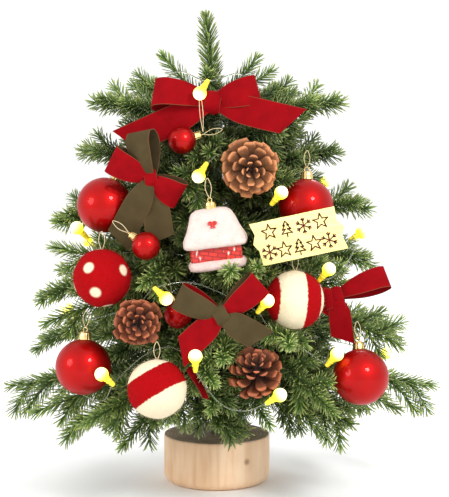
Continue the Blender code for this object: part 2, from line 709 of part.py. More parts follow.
def build_battery_box(plastic, cell_wrap):
    """An open-backed case with two cells, a sliding cover and a slide switch on its end."""
    case = add_object("battery_case", box_mesh((BOX_WIDTH, BOX_DEPTH, BOX_HEIGHT), (0, 0, 0)), plastic)
    bay_height = CELL_LENGTH + 4 * GAP
    bay_low = -BOX_HEIGHT / 2 + BOX_WALL
    bay_size = (BOX_WIDTH - 2 * BOX_WALL, BOX_DEPTH, bay_height)
    bay_centre = (0, BOX_WALL, bay_low + bay_height / 2)
    combine(case, add_object("bay_cutter", box_mesh(bay_size, bay_centre), plastic), "DIFFERENCE")
    slot_floor = BOX_HEIGHT / 2 - SWITCH_DEPTH
    slot_length = SWITCH_LENGTH + SWITCH_TRAVEL + 2 * GAP
    slot_size = (slot_length, SWITCH_WIDTH + 2 * GAP, SWITCH_DEPTH * 2)
    slot_centre = (SWITCH_PLACE, 0, slot_floor + SWITCH_DEPTH)
    combine(case, add_object("slot_cutter", box_mesh(slot_size, slot_centre), plastic), "DIFFERENCE")
    case.location = BOX_CENTRE

    cover_centre = (0, BOX_DEPTH / 2 + GAP + COVER_THICKNESS / 2, 0)
    cover_size = (BOX_WIDTH, COVER_THICKNESS, BOX_HEIGHT)
    cover = add_object("battery_cover", box_mesh(cover_size, cover_centre), plastic)
    cover.location = BOX_CENTRE

    slider_size = (SWITCH_LENGTH, SWITCH_WIDTH, SWITCH_HEIGHT)
    slider_centre = (SWITCH_PLACE - SWITCH_TRAVEL / 2, 0, slot_floor + GAP + SWITCH_HEIGHT / 2)
    slider = add_object("switch_slider", box_mesh(slider_size, slider_centre), plastic)
    slider.location = BOX_CENTRE

    half = CELL_LENGTH / 2
    shoulder = half - CELL_BUTTON_HEIGHT
    button = CELL_RADIUS * CELL_BUTTON_SHARE
    cell_profile = [
        (0, -half), (CELL_RADIUS, -half), (CELL_RADIUS, shoulder),
        (button, shoulder), (button, half), (0, half),
    ]
    cell_y = BOX_WALL - BOX_DEPTH / 2 + CELL_RADIUS + GAP
    for number, side in enumerate((-1, 1), 1):
        bm = bmesh.new()
        turned(bm, cell_profile, 12)
        cell = add_object(f"battery_cell_{number}", bm, cell_wrap)
        cell.location = Vector(BOX_CENTRE) + Vector((side * (CELL_RADIUS + GAP), cell_y, bay_low + 2 * GAP + half))


def socket_end(lamp):
    """Where the lead passes through a lamp's socket."""
    centre, direction = LAMPS[lamp]
    return Vector(centre) + Vector(direction).normalized() * SOCKET_REACH


def lead_points():
    """The lead's own points: up out of the box, then the route with its sockets."""
    exit_point = Vector(BOX_CENTRE) + Vector((LEAD_PLACE, 0, BOX_HEIGHT / 2 + GAP))
    route = [socket_end(stop) if isinstance(stop, int) else Vector(stop) for stop in LEAD_ROUTE]
    return [exit_point] + route


def smooth_route(points, step):
    """Points about a step apart on a Catmull-Rom curve through the given ones."""
    before = points[0] * 2 - points[1]
    after = points[-1] * 2 - points[-2]
    padded = [before] + points + [after]
    made = []
    for a, b, c, d in zip(padded, padded[1:], padded[2:], padded[3:]):
        count = max(1, round((c - b).length / step))
        for i in range(count):
            t = i / count
            made.append(
                (2 * b + (c - a) * t + (2 * a - 5 * b + 4 * c - d) * t ** 2 + (3 * b - a - 3 * c + d) * t ** 3) / 2
            )
    return made + [points[-1]]


def build_light_string(clear_plastic):
    """The lead as a bevelled curve, with each lamp's globe and socket joined to it."""
    points = smooth_route(lead_points(), WIRE_STEP)
    curve = bpy.data.curves.new("lead", "CURVE")
    curve.dimensions = "3D"
    curve.bevel_depth = WIRE_RADIUS
    curve.bevel_resolution = 2
    curve.use_fill_caps = True
    spline = curve.splines.new("POLY")
    spline.points.add(len(points) - 1)
    for place, point in zip(spline.points, points):
        place.co = (*point, 1)
    lead = bpy.data.objects.new("lead", curve)
    bpy.context.scene.collection.objects.link(lead)
    bpy.context.view_layer.update()
    bm = bmesh.new()
    bm.from_mesh(bpy.data.meshes.new_from_object(lead))
    bmesh.ops.remove_doubles(bm, verts=bm.verts, dist=1e-6)
    bpy.data.objects.remove(lead, do_unlink=True)
    string = add_object("light_string", bm, clear_plastic)
    foot = SOCKET_REACH + SOCKET_END
    profile = [(0, foot), (SOCKET_RADIUS, foot)]
    profile += [(LAMP_RADIUS * across, LAMP_RADIUS * along) for across, along in LAMP_OUTLINE]
    lamps_bm = bmesh.new()
    for centre, direction in LAMPS:
        place = Matrix.Translation(centre) @ frame_along(direction).to_matrix().to_4x4()
        turned(lamps_bm, profile, 7, place)
    combine(string, add_object("lamps", lamps_bm, clear_plastic), "UNION")


def main():
    clear_scene()
    wood = material("pale_wood", (0.78, 0.58, 0.40), 0.6)
    tape = material("floral_tape", (0.12, 0.16, 0.12), 0.7)
    green = material("needle_green", (0.06, 0.17, 0.04), 0.55)
    red = material("mirror_red", (0.65, 0.01, 0.01), 0.12, 0.6)
    gold = material("cap_gold", (0.83, 0.62, 0.25), 0.25, 1.0)
    felt = material("red_felt", (0.45, 0.01, 0.02), 0.95)
    paint = material("snow_paint", (0.85, 0.72, 0.72), 0.6)
    board = material("yellow_board", (0.90, 0.83, 0.45), 0.6)
    brown = material("cone_brown", (0.34, 0.14, 0.06), 0.7)
    ribbon = material("velvet_ribbon", (0.40, 0.01, 0.02), 0.9)
    plastic = material("box_plastic", (0.80, 0.80, 0.78), 0.4)
    cell_wrap = material("cell_wrap", (0.10, 0.10, 0.11), 0.35)
    clear_plastic = material("clear_plastic", (0.90, 0.88, 0.62), 0.2)

    build_base(wood)
    build_pole(tape)
    build_branches(green)
    build_crown(green)
    for name, seat, lean, upwards in BALLS:
        build_ball(name, seat, lean, upwards, red, gold)
    for name, centre, upwards in SMALL_BALLS:
        build_small_ball(name, centre, upwards, red)
    for name, centre in FELT_BALLS:
        build_felt_ball(name, centre, felt)
    build_house(paint)
    build_sign(board)
    for name, centre, facing, scale in CONES:
        build_cone(name, centre, facing, scale, brown)
    for name, centre, width, loops, tails in BOWS:
        build_bow(name, centre, width, loops, tails, ribbon)
    build_battery_box(plastic, cell_wrap)
    build_light_string(clear_plastic)


main()
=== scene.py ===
"""Artificial tabletop tree: needles, ornaments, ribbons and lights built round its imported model.

Metres, +Z up. The tree stands on its log at the origin, and -Y is its decorated front.
An azimuth is in degrees, counted from +X towards +Y: 0 is right, 90 is the back, 180 left and 270 the front.
"""

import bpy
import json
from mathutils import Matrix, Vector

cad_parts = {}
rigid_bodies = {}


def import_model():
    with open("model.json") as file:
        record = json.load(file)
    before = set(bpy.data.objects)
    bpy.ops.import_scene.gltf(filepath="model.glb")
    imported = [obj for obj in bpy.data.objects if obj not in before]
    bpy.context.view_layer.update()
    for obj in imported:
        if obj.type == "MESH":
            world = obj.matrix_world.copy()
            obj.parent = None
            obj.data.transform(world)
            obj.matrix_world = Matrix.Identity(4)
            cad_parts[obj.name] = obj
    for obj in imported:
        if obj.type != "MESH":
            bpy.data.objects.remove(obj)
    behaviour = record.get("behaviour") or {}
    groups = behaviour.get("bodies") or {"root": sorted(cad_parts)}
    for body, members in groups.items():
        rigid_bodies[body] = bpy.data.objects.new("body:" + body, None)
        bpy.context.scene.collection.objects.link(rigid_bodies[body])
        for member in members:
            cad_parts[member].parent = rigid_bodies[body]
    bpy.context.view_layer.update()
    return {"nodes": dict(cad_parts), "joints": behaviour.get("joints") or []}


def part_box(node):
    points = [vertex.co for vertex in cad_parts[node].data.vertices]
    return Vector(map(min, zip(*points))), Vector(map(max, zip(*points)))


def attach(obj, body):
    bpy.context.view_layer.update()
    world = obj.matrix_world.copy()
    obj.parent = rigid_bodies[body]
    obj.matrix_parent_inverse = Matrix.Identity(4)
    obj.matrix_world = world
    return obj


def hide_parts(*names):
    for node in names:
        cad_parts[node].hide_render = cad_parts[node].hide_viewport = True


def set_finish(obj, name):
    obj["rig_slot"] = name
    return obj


bl_info = {
    "name": "Tabletop Tree",
    "version": (1, 0, 0),
    "blender": (4, 5, 0),
    "location": "View3D > Sidebar > Tabletop Tree",
    "description": "Builds the needles, ornaments, ribbons and lights of a small artificial tree",
    "category": "Object",
}

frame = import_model()

import json
import random
from math import asin, cos, degrees, hypot, pi, radians, sin, sqrt

import bmesh
import bpy
from bpy.props import BoolProperty, FloatProperty, FloatVectorProperty, IntProperty, PointerProperty
from mathutils import Matrix, Vector, noise
from mathutils.bvhtree import BVHTree

TREE = "tree"
UP = Vector((0, 0, 1))
BACK = Vector((0, 1, 0))
GOLDEN_TURN = radians(137.508)

# The pole and its branches, as the model has them
POLE_RADIUS = 0.0055
POLE_TOP = 0.345
STEM_ROOT = 0.0078
STEM_ARCH = 0.006
TWIG_LENGTH = 0.056
TWIG_YAW = 41
TIERS = (
    ("skirt", 0.104, -36, (
        (357, 0.212, 0.094), (52, 0.19, 0.086), (126, 0.186, 0.086), (183, 0.203, 0.093),
        (222, 0.176, 0.078), (271, 0.122, 0.078), (317, 0.172, 0.078),
    )),
    ("lower", 0.15, -14, (
        (11, 0.178, 0.146), (52, 0.166, 0.15), (130, 0.166, 0.15), (172, 0.174, 0.134),
        (239, 0.112, 0.156), (299, 0.118, 0.156),
    )),
    ("middle", 0.196, -4, (
        (352, 0.148, 0.218), (48, 0.146, 0.208), (134, 0.146, 0.208), (196, 0.174, 0.184),
    )),
    ("upper", 0.243, 6, (
        (347, 0.146, 0.268), (62, 0.13, 0.262), (124, 0.13, 0.262), (196, 0.158, 0.256),
    )),
    ("high", 0.288, 10, (
        (6, 0.112, 0.314), (92, 0.112, 0.316), (176, 0.132, 0.316),
    )),
    ("top", 0.332, 14, (
        (3, 0.116, 0.361), (40, 0.092, 0.372), (142, 0.1, 0.379), (184, 0.114, 0.361),
    )),
)
LEADER_TIP = (-0.0106, 0, 0.1045)
CROWN_SHOOT_TIPS = (
    (-0.05, 0.004, 0.06), (0.037, -0.006, 0.057), (0.052, 0.02, 0.046),
    (-0.006, 0.046, 0.051), (-0.008, -0.04, 0.043),
)

# The light string, as the model has it
LAMPS = (
    ((-0.008, 0.066, 0.342), (0.1, -0.75, -0.65)),
    ((-0.014, -0.105, 0.37), (0.5, 0.3, 0.8)),
    ((-0.015, -0.115, 0.298), (0.5, 0.3, 0.8)),
    ((0.057, -0.12, 0.284), (-0.6, 0.3, -0.75)),
    ((0.104, 0.018, 0.286), (-0.8, -0.1, -0.6)),
    ((0.03, 0.088, 0.296), (-0.3, -0.75, -0.6)),
    ((-0.126, -0.07, 0.249), (0.7, 0.2, -0.7)),
    ((0.099, -0.12, 0.217), (-0.6, 0.3, -0.75)),
    ((0.138, 0.006, 0.238), (-0.8, -0.2, -0.5)),
    ((0.036, 0.124, 0.224), (-0.3, -0.8, -0.5)),
    ((-0.128, 0.056, 0.226), (0.8, -0.3, -0.5)),
    ((-0.135, -0.08, 0.177), (0.7, 0.2, -0.7)),
    ((-0.0425, -0.15, 0.195), (-0.7, 0.3, 0.6)),
    ((0.044, -0.165, 0.195), (-0.6, 0.3, -0.75)),
    ((0.105, -0.14, 0.145), (-0.6, 0.3, -0.75)),
    ((0.16, -0.028, 0.128), (-0.8, 0.1, -0.6)),
    ((-0.092, 0.136, 0.127), (0.5, -0.7, -0.5)),
    ((-0.097, -0.165, 0.132), (0.7, 0.2, -0.7)),
    ((-0.017, -0.175, 0.149), (0.0, 0.3, -1.0)),
    ((0.0545, -0.175, 0.116), (-0.8, 0.2, -0.55)),
)
SOCKET_REACH = 0.0135
LEAD_EXIT = (-0.009, 0.045, 0.2323)
LEAD_ROUTE = (
    (-0.01, 0.045, 0.243), (-0.016, 0.046, 0.262), (-0.026, 0.042, 0.29), (-0.024, 0.042, 0.318), 0,
    (0.022, 0.044, 0.326), (0.048, 0.005, 0.325), (0.044, -0.04, 0.338), (0.038, -0.066, 0.366),
    (0.022, -0.08, 0.387), 1, (-0.034, -0.088, 0.389), (-0.052, -0.068, 0.372), (-0.058, -0.052, 0.342),
    (-0.04, -0.078, 0.312), (-0.024, -0.092, 0.301), 2, (0.006, -0.09, 0.316), (0.036, -0.08, 0.3),
    (0.05, -0.092, 0.282), 3, (0.044, -0.09, 0.266), (0.044, -0.06, 0.266), (0.07, -0.012, 0.28), 4,
    (0.072, 0.044, 0.28), 5, (-0.006, 0.086, 0.284), (-0.05, 0.066, 0.28), (-0.078, 0.024, 0.279),
    (-0.066, -0.018, 0.278), (-0.056, -0.044, 0.256), (-0.082, -0.054, 0.238), 6,
    (-0.1, -0.068, 0.226), (-0.062, -0.072, 0.228), (-0.024, -0.092, 0.226), (0.02, -0.098, 0.224),
    (0.062, -0.1, 0.22), 7, (0.112, -0.096, 0.214), (0.128, -0.06, 0.234), 8, (0.108, 0.046, 0.23),
    (0.072, 0.088, 0.226), 9, (-0.012, 0.112, 0.224), (-0.062, 0.092, 0.23), 10, (-0.124, 0.02, 0.196),
    (-0.134, -0.004, 0.17), (-0.14, -0.036, 0.164), 11, (-0.106, -0.092, 0.17), (-0.07, -0.108, 0.184),
    12, (-0.024, -0.141, 0.208), (0.002, -0.142, 0.2), (0.022, -0.147, 0.19), 13,
    (0.044, -0.148, 0.172), (0.06, -0.128, 0.16), (0.08, -0.124, 0.145), 14, (0.096, -0.108, 0.132),
    (0.104, -0.074, 0.128), 15, (0.15, 0.03, 0.12), (0.118, 0.092, 0.12), (0.064, 0.132, 0.118),
    (0.002, 0.144, 0.12), (-0.048, 0.136, 0.118), 16, (-0.124, 0.084, 0.12), (-0.148, 0.034, 0.119),
    (-0.15, -0.024, 0.12), (-0.138, -0.072, 0.114), (-0.118, -0.108, 0.103), (-0.098, -0.138, 0.104),
    17, (-0.078, -0.138, 0.13), (-0.062, -0.132, 0.143), (-0.042, -0.138, 0.151), (-0.026, -0.154, 0.147),
    18, (-0.006, -0.166, 0.118), (0.008, -0.16, 0.103), (0.026, -0.164, 0.1), 19,
)

# The ornaments, as the model has them
BIG_BALL_RADIUS = 0.0245
BIG_BALL_REACH = BIG_BALL_RADIUS + 0.0062 + 0.016
SMALL_BALL_RADIUS = 0.0123
SMALL_BALL_REACH = SMALL_BALL_RADIUS + 0.0058 + 0.016
SMALL_BALL_WAYS = ((0.94, 0.1, 0.25), (-0.7, 0.2, 0.5), (-0.3, 0.3, 0.8))
HOUSE_LEAN = radians(-7)
HOUSE_DROP = 0.076
SIGN_TURN = radians(-12)

# Where the dots stand on the dotted ball, and how far from its middle a dot fades from wool to wool
FELT_DOTS = (
    (-0.4, -0.8, 0.45), (0.8, -0.52, 0.34), (-0.16, -0.9, -0.4), (-0.96, -0.1, -0.3),
    (-0.3, 0.8, 0.45), (0.6, 0.75, 0.1), (-0.2, 0.8, -0.55), (0.85, 0.3, -0.45),
    (-0.2, 0.25, 0.95), (0.2, -0.2, -0.96),
)
DOT_EDGE = (0.0058, 0.004)
BAND_EDGE = 0.0004

# What the needles keep out of
ORNAMENT_SLOTS = (
    "gloss_red", "cap_gold", "felt", "house_paint", "sign_board", "cone_scales", "ribbon_red", "pale_wood",
)


# Settings


def colour_property(name, description, default):
    return FloatVectorProperty(
        name=name, description=description, subtype="COLOR", default=default, min=0, max=1
    )


def length_property(name, description, default, **limits):
    return FloatProperty(name=name, description=description, default=default, unit="LENGTH", **limits)


class FoliageSettings(bpy.types.PropertyGroup):
    needle_length: length_property("Needle length", "Length of a full needle", 0.0175, min=0.004)
    needle_spacing: length_property(
        "Needle spacing", "Twig length for each needle", 0.0006, min=0.0002, precision=5
    )
    root_tilt: FloatProperty(
        name="Root tilt", description="Needle's angle to its twig near the twig's root",
        default=radians(46), subtype="ANGLE",
    )
    tip_tilt: FloatProperty(
        name="Tip tilt", description="Needle's angle to its twig at the twig's tip",
        default=radians(28), subtype="ANGLE",
    )
    inner_sprigs: IntProperty(
        name="Inner sprigs", description="Sprigs that fill the tree between its branches", default=120, min=0
    )
    green: colour_property("Needle green", "Colour halfway along a needle", (0.1, 0.19, 0.034))
    tip_green: colour_property("Tip green", "Colour of a needle's tip", (0.43, 0.54, 0.17))


class OrnamentSettings(bpy.types.PropertyGroup):
    gloss_red: colour_property("Gloss red", "Lacquer of the shiny balls", (0.46, 0.0035, 0.003))
    gold: colour_property("Cap gold", "Metal of the ball caps", (0.86, 0.64, 0.27))
    felt_red: colour_property("Felt red", "Dyed wool of the felt balls", (0.35, 0.002, 0.004))
    felt_cream: colour_property("Felt cream", "Undyed wool of the felt balls", (0.8, 0.69, 0.49))
    felt_fibres: IntProperty(
        name="Felt fibres", description="Loose fibres on each felt ball", default=1600, min=0
    )
    cone_scales: IntProperty(
        name="Cone scales", description="Scales on each pine cone", default=44, min=20
    )
    thread: length_property("Thread", "Thickness of the hanging threads", 0.0006, precision=4)


class RibbonSettings(bpy.types.PropertyGroup):
    thickness: length_property("Thickness", "Thickness of the velvet ribbon", 0.0007, precision=4)
    red: colour_property("Velvet red", "Pile of the red side", (0.23, 0.0015, 0.004))
    olive: colour_property("Velvet olive", "Pile of the olive side", (0.064, 0.046, 0.02))


class LightSettings(bpy.types.PropertyGroup):
    lead_thickness: length_property("Lead thickness", "Thickness of the clear lead", 0.0012, precision=4)
    globe_radius: length_property("Globe radius", "Radius of a lamp's globe", 0.006, precision=4)
    glow: FloatProperty(name="Glow", description="Strength of the lamps' own light", default=1.5, min=0)
    lit: BoolProperty(name="Lit", description="Whether the lamps are lit", default=True)


# Materials


def add_node(tree, kind, inputs, values):
    """A new node with these settings, its inputs linked to the given sockets or set to the given values."""
    made = tree.nodes.new(kind)
    for name, value in values.items():
        setattr(made, name, value)
    for name, value in dict(inputs).items():
        if isinstance(value, bpy.types.NodeSocket):
            tree.links.new(value, made.inputs[name])
        else:
            made.inputs[name].default_value = value
    return made


class Finish:
    """A material being made: a Principled shader and the nodes that feed it."""

    def __init__(self, name, colour=(0.8, 0.8, 0.8), roughness=0.5, **sockets):
        self.material = bpy.data.materials.new(name)
        self.material.use_nodes = True
        self.tree = self.material.node_tree
        self.shader = self.tree.nodes["Principled BSDF"]
        self.set("Base Color", (*colour, 1))
        self.set("Roughness", roughness)
        for socket, value in sockets.items():
            self.set(socket.replace("_", " ").title().replace("Ior", "IOR"), value)

    def set(self, socket, value):
        self.shader.inputs[socket].default_value = value

    def node(self, kind, inputs=(), **values):
        return add_node(self.tree, "ShaderNode" + kind, inputs, values)

    def feed(self, socket, output):
        self.tree.links.new(output, self.shader.inputs[socket])

    def colour(self, output):
        self.feed("Base Color", output)

    def object_place(self):
        return self.node("TexCoord").outputs["Object"]

    def height(self):
        return self.node("SeparateXYZ", {0: self.object_place()}).outputs["Z"]

    def vector(self, operation, first, second=(0, 0, 0)):
        return self.node("VectorMath", {0: first, 1: second}, operation=operation).outputs["Vector"]

    def place(self, scale=(1, 1, 1), location=(0, 0, 0), rotation=(0, 0, 0)):
        fields = {"Vector": self.object_place(), "Scale": scale, "Location": location, "Rotation": rotation}
        return self.node("Mapping", fields).outputs["Vector"]

    def noise(self, scale, detail=3.0, vector=None, distortion=0.0):
        fields = {"Scale": scale, "Detail": detail, "Distortion": distortion}
        fields["Vector"] = vector or self.object_place()
        return self.node("TexNoise", fields).outputs["Fac"]

    def math(self, operation, first, second=0.5):
        return self.node("Math", {0: first, 1: second}, operation=operation).outputs[0]

    def ramp(self, amount, *stops):
        made = self.node("ValToRGB", {"Fac": amount})
        band = made.color_ramp
        while len(band.elements) < len(stops):
            band.elements.new(0.5)
        for element, (place, colour) in zip(band.elements, stops):
            element.position = place
            element.color = (*colour, 1) if len(colour) == 3 else colour
        return made.outputs["Color"]

    def mottle(self, grain, dark, pale):
        """Colours the finish between two shades by a noise, or by the noise of that scale."""
        grain = grain if isinstance(grain, bpy.types.NodeSocket) else self.noise(grain)
        self.colour(self.ramp(grain, (0.3, dark), (0.7, pale)))

    def level(self, amount, low, high):
        """A 0 to 1 step of amount between low and high."""
        fields = {"Value": amount, "From Min": low, "From Max": high}
        return self.node("MapRange", fields).outputs["Result"]

    def mix(self, amount, first, second, blend="MIX"):
        second = (*second, 1) if isinstance(second, tuple) else second
        fields = {0: amount, 6: first, 7: second}
        return self.node("Mix", fields, data_type="RGBA", blend_type=blend).outputs[2]

    def bump(self, height, strength, distance):
        fields = {"Height": height, "Strength": strength, "Distance": distance}
        self.feed("Normal", self.node("Bump", fields).outputs["Normal"])

    def attribute(self, name):
        return self.node("Attribute", attribute_name=name).outputs["Fac"]

    def distance(self, point, vector=None):
        fields = {0: vector or self.object_place(), 1: point}
        return self.node("VectorMath", fields, operation="DISTANCE").outputs["Value"]


def grey(value):
    return (value, value, value)


def shade(colour, share):
    return tuple(channel * share for channel in colour)


def needle_finish(settings):
    made = Finish("needle_green", settings.green, 0.48, specular_ior_level=0.42)
    green, tip = tuple(settings.green), tuple(settings.tip_green)
    stops = (0.0, shade(green, 0.55)), (0.45, green), (0.82, shade(tip, 0.55)), (1.0, tip)
    along = made.ramp(made.attribute("along"), *stops)
    tone = made.ramp(made.attribute("tone"), (0.0, grey(0.62)), (0.6, grey(1.0)), (1.0, (1.45, 1.35, 1.05)))
    toned = made.mix(1.0, along, tone, "MULTIPLY")
    # Painted shade: the needles darken towards the pole, where the inner foliage lies in shade, and turn
    # lighter than their own green on the outside. The crown above 0.345 m counts as outside, so it stays
    # light. The depth ramp below is this painted shade.
    flat = made.vector("MULTIPLY", made.object_place(), (1, 1, 0))
    reach = made.distance((0, 0, 0), flat)
    height = made.height()
    reach = made.math("ADD", reach, made.math("MULTIPLY", made.level(height, 0.345, 0.4), 0.11))
    depth = made.ramp(made.level(reach, 0.02, 0.15), (0.0, grey(0.22)), (0.55, grey(0.64)), (1.0, grey(1.26)))
    made.colour(made.mix(1.0, toned, depth, "MULTIPLY"))
    made.bump(made.noise(900), 0.15, 0.0003)
    return made.material


def twig_finish():
    made = Finish("twig_green", (0.045, 0.06, 0.022), 0.65)
    bark = made.ramp(made.noise(300), (0.3, (0.03, 0.044, 0.016)), (0.75, (0.085, 0.09, 0.035)))
    made.colour(bark)
    made.bump(made.noise(1200), 0.4, 0.0003)
    return made.material


def lacquer_finish(settings):
    red = tuple(settings.gloss_red)
    made = Finish("red_lacquer", red, 0.12, metallic=0.95, coat_weight=0.25, coat_roughness=0.03)
    made.mottle(60, shade(red, 0.9), red)
    made.feed("Roughness", made.math("MULTIPLY_ADD", made.noise(900), 0.06))
    made.bump(made.noise(260, 1.0), 0.03, 0.0004)
    return made.material


def gold_finish(settings):
    gold = tuple(settings.gold)
    made = Finish("cap_gold", gold, 0.26, metallic=1.0)
    made.mottle(400, shade(gold, 0.82), gold)
    made.bump(made.noise(1600, 2.0), 0.12, 0.0002)
    return made.material


def felt_wool(made, settings, cream_share):
    """Rough wool, cream where the share is 1 and red where it is 0."""
    red, cream = tuple(settings.felt_red), tuple(settings.felt_cream)
    fine = made.noise(1500, 4.0)
    reds = made.ramp(fine, (0.3, shade(red, 0.72)), (0.7, shade(red, 1.18)))
    creams = made.ramp(fine, (0.3, shade(cream, 0.86)), (0.7, shade(cream, 1.08)))
    made.colour(made.mix(cream_share, reds, creams))
    made.bump(made.noise(2200, 5.0), 0.55, 0.0006)
    return made.material


def dotted_felt_finish(settings, centre, radius):
    """Red wool with round cream dots needled into it."""
    made = Finish("felt_dotted", settings.felt_red, 0.95, specular_ior_level=0.08)
    cloud = made.node("TexNoise", {"Scale": 420.0, "Detail": 2.0}).outputs["Color"]
    centred = made.vector("SUBTRACT", cloud, grey(0.5))
    wobbled = made.vector("ADD", made.object_place(), made.vector("MULTIPLY", centred, grey(0.0022)))
    nearest = None
    for direction in FELT_DOTS:
        point = Vector(centre) + Vector(direction).normalized() * radius
        away = made.distance(tuple(point), wobbled)
        nearest = away if nearest is None else made.math("MINIMUM", nearest, away)
    return felt_wool(made, settings, made.level(nearest, *DOT_EDGE))


def banded_felt_finish(settings, name, centre, normal, bands):
    """Red wool with cream bands: each band is a (low, high) stretch along the normal."""
    made = Finish(name, settings.felt_red, 0.95, specular_ior_level=0.08)
    local = made.vector("SUBTRACT", made.object_place(), centre)
    fields = {0: local, 1: tuple(Vector(normal).normalized())}
    height = made.node("VectorMath", fields, operation="DOT_PRODUCT").outputs["Value"]
    fields = {0: made.noise(420.0), 1: 0.0022, 2: -0.0011}
    soft = made.node("Math", fields, operation="MULTIPLY_ADD").outputs[0]
    height = made.math("ADD", height, soft)
    cream_share = None
    for low, high in bands:
        above = made.level(height, low - BAND_EDGE, low + BAND_EDGE)
        below = made.level(height, high + BAND_EDGE, high - BAND_EDGE)
        inside = made.math("MULTIPLY", above, below)
        cream_share = inside if cream_share is None else made.math("MAXIMUM", cream_share, inside)
    return felt_wool(made, settings, cream_share)


def velvet_finish(name, colour):
    """Short pile: soft blotches, a fine nap and a paler woven edge."""
    made = Finish(name, colour, 0.92, specular_ior_level=0.08, sheen_weight=0.05, sheen_tint=(*colour, 1))
    nap = made.ramp(made.noise(90, 3.0), (0.3, shade(colour, 0.88)), (0.7, shade(colour, 1.12)))
    across = made.node("SeparateXYZ", {0: made.node("TexCoord").outputs["UV"]}).outputs["X"]
    from_middle = made.math("ABSOLUTE", made.math("SUBTRACT", across, 0.5))
    edge = made.level(from_middle, 0.478, 0.488)
    selvedge = tuple(0.3 * c + s for c, s in zip(colour, (0.1, 0.045, 0.02)))
    made.colour(made.mix(edge, nap, selvedge))
    made.bump(made.noise(2600, 3.0), 0.35, 0.0003)
    return made.material


def cone_finish(name, colour):
    """Dry scale wood, paler on the thick outer end, with painted shade that darkens each scale's root in the
    cracks between the scales.
    """
    made = Finish(name, colour, 0.62, specular_ior_level=0.35)
    # Painted shade: near black at each scale's root, down in the cracks. The pale outer end is the wood's own
    # colour.
    root_shade_to_pale_tip = ((0.0, 0.06), (0.4, 0.25), (0.8, 0.8), (1.0, 1.75))
    along = made.ramp(made.attribute("along"), *((place, shade(colour, share)) for place, share in root_shade_to_pale_tip))
    tone = made.ramp(made.attribute("tone"), (0.0, grey(0.7)), (1.0, grey(1.18)))
    streaks = made.ramp(made.noise(700, 4.0, distortion=1.2), (0.35, grey(0.7)), (0.65, grey(1.05)))
    made.colour(made.mix(1.0, made.mix(1.0, along, tone, "MULTIPLY"), streaks, "MULTIPLY"))
    made.bump(made.noise(900, 5.0, distortion=1.5), 0.55, 0.0006)
    return made.material


def log_side_finish():
    """Peeled pale wood: upright grain, soft stains and one small knot."""
    made = Finish("log_side", (0.75, 0.52, 0.33), 0.62, specular_ior_level=0.3)
    grain = made.noise(140, 5.0, made.place(scale=(1, 1, 0.1)), 0.4)
    colour = made.ramp(grain, (0.3, (0.74, 0.49, 0.3)), (0.52, (0.83, 0.59, 0.39)), (0.8, (0.88, 0.67, 0.47)))
    stain = made.ramp(made.noise(22, 3.0), (0.35, (0.9, 0.82, 0.74)), (0.65, grey(1.0)))
    colour = made.mix(1.0, colour, stain, "MULTIPLY")
    knot = made.level(made.distance((0.028, -0.041, 0.027)), 0.0042, 0.0012)
    made.colour(made.mix(made.math("MULTIPLY", knot, 0.75), colour, (0.22, 0.1, 0.05)))
    made.bump(grain, 0.28, 0.0006)
    return made.material


def log_top_finish():
    """Sawn end grain: growth rings round the heart, saw marks and a dark knot."""
    made = Finish("log_top", (0.3, 0.2, 0.12), 0.75, specular_ior_level=0.25)
    warped = made.place(scale=(1, 1, 0.2), location=(0.002, 0.004, 0))
    rings = made.node(
        "TexWave", {"Vector": warped, "Scale": 95.0, "Distortion": 3.0, "Detail": 3.0, "Detail Scale": 2.0},
        wave_type="RINGS", rings_direction="Z",
    ).outputs["Fac"]
    colour = made.ramp(rings, (0.0, (0.6, 0.44, 0.31)), (0.6, (0.72, 0.55, 0.4)), (1.0, (0.8, 0.64, 0.48)))
    blot = made.ramp(made.noise(45, 4.0), (0.35, (0.8, 0.74, 0.68)), (0.65, grey(1.0)))
    colour = made.mix(1.0, colour, blot, "MULTIPLY")
    knot = made.level(made.distance((0.006, -0.03, 0.046)), 0.0075, 0.003)
    made.colour(made.mix(made.math("MULTIPLY", knot, 0.8), colour, (0.16, 0.09, 0.05)))
    made.bump(made.math("ADD", rings, made.noise(700, 3.0)), 0.25, 0.0005)
    return made.material


def tape_finish():
    made = Finish("floral_tape", (0.15, 0.19, 0.13), 0.72)
    crepe = made.noise(500, 4.0, made.place(scale=(0.3, 0.3, 1.6)))
    made.mottle(crepe, (0.09, 0.12, 0.08), (0.22, 0.26, 0.18))
    made.bump(crepe, 0.5, 0.0005)
    return made.material


def snow_finish(name, colour):
    """Rough white paint, warm and faintly pink, with glitter grains set in it."""
    made = Finish(name, colour, 0.75, specular_ior_level=0.2)
    cells = made.node("TexVoronoi", {"Scale": 900.0}).outputs
    blotch = made.ramp(made.noise(170, 4.0), (0.35, shade(colour, 0.84)), (0.65, colour))
    spark = made.level(made.node("SeparateXYZ", {0: cells["Color"]}).outputs["X"], 0.86, 0.9)
    made.colour(made.mix(spark, blotch, (1.0, 0.95, 0.92)))
    made.feed("Roughness", made.math("SUBTRACT", 0.78, made.math("MULTIPLY", spark, 0.62)))
    made.bump(made.math("ADD", cells["Distance"], made.noise(380, 5.0)), 0.55, 0.0006)
    return made.material


def brick_finish(turn):
    made = Finish("house_brick", (0.7, 0.02, 0.01), 0.4, coat_weight=0.2, coat_roughness=0.2)
    wall = made.place(rotation=(radians(90), 0, turn))
    brick = made.node(
        "TexBrick",
        {
            "Vector": wall, "Color1": (0.66, 0.022, 0.006, 1), "Color2": (0.52, 0.01, 0.006, 1),
            "Mortar": (0.3, 0.004, 0.003, 1), "Scale": 55.0, "Mortar Size": 0.03, "Brick Width": 0.42,
            "Row Height": 0.2,
        },
    )
    frost = made.level(made.noise(320, 4.0, made.place(scale=(1, 1, 0.35))), 0.63, 0.7)
    made.colour(made.mix(frost, brick.outputs["Color"], (0.9, 0.62, 0.55)))
    made.bump(brick.outputs["Fac"], -0.5, 0.0006)
    return made.material


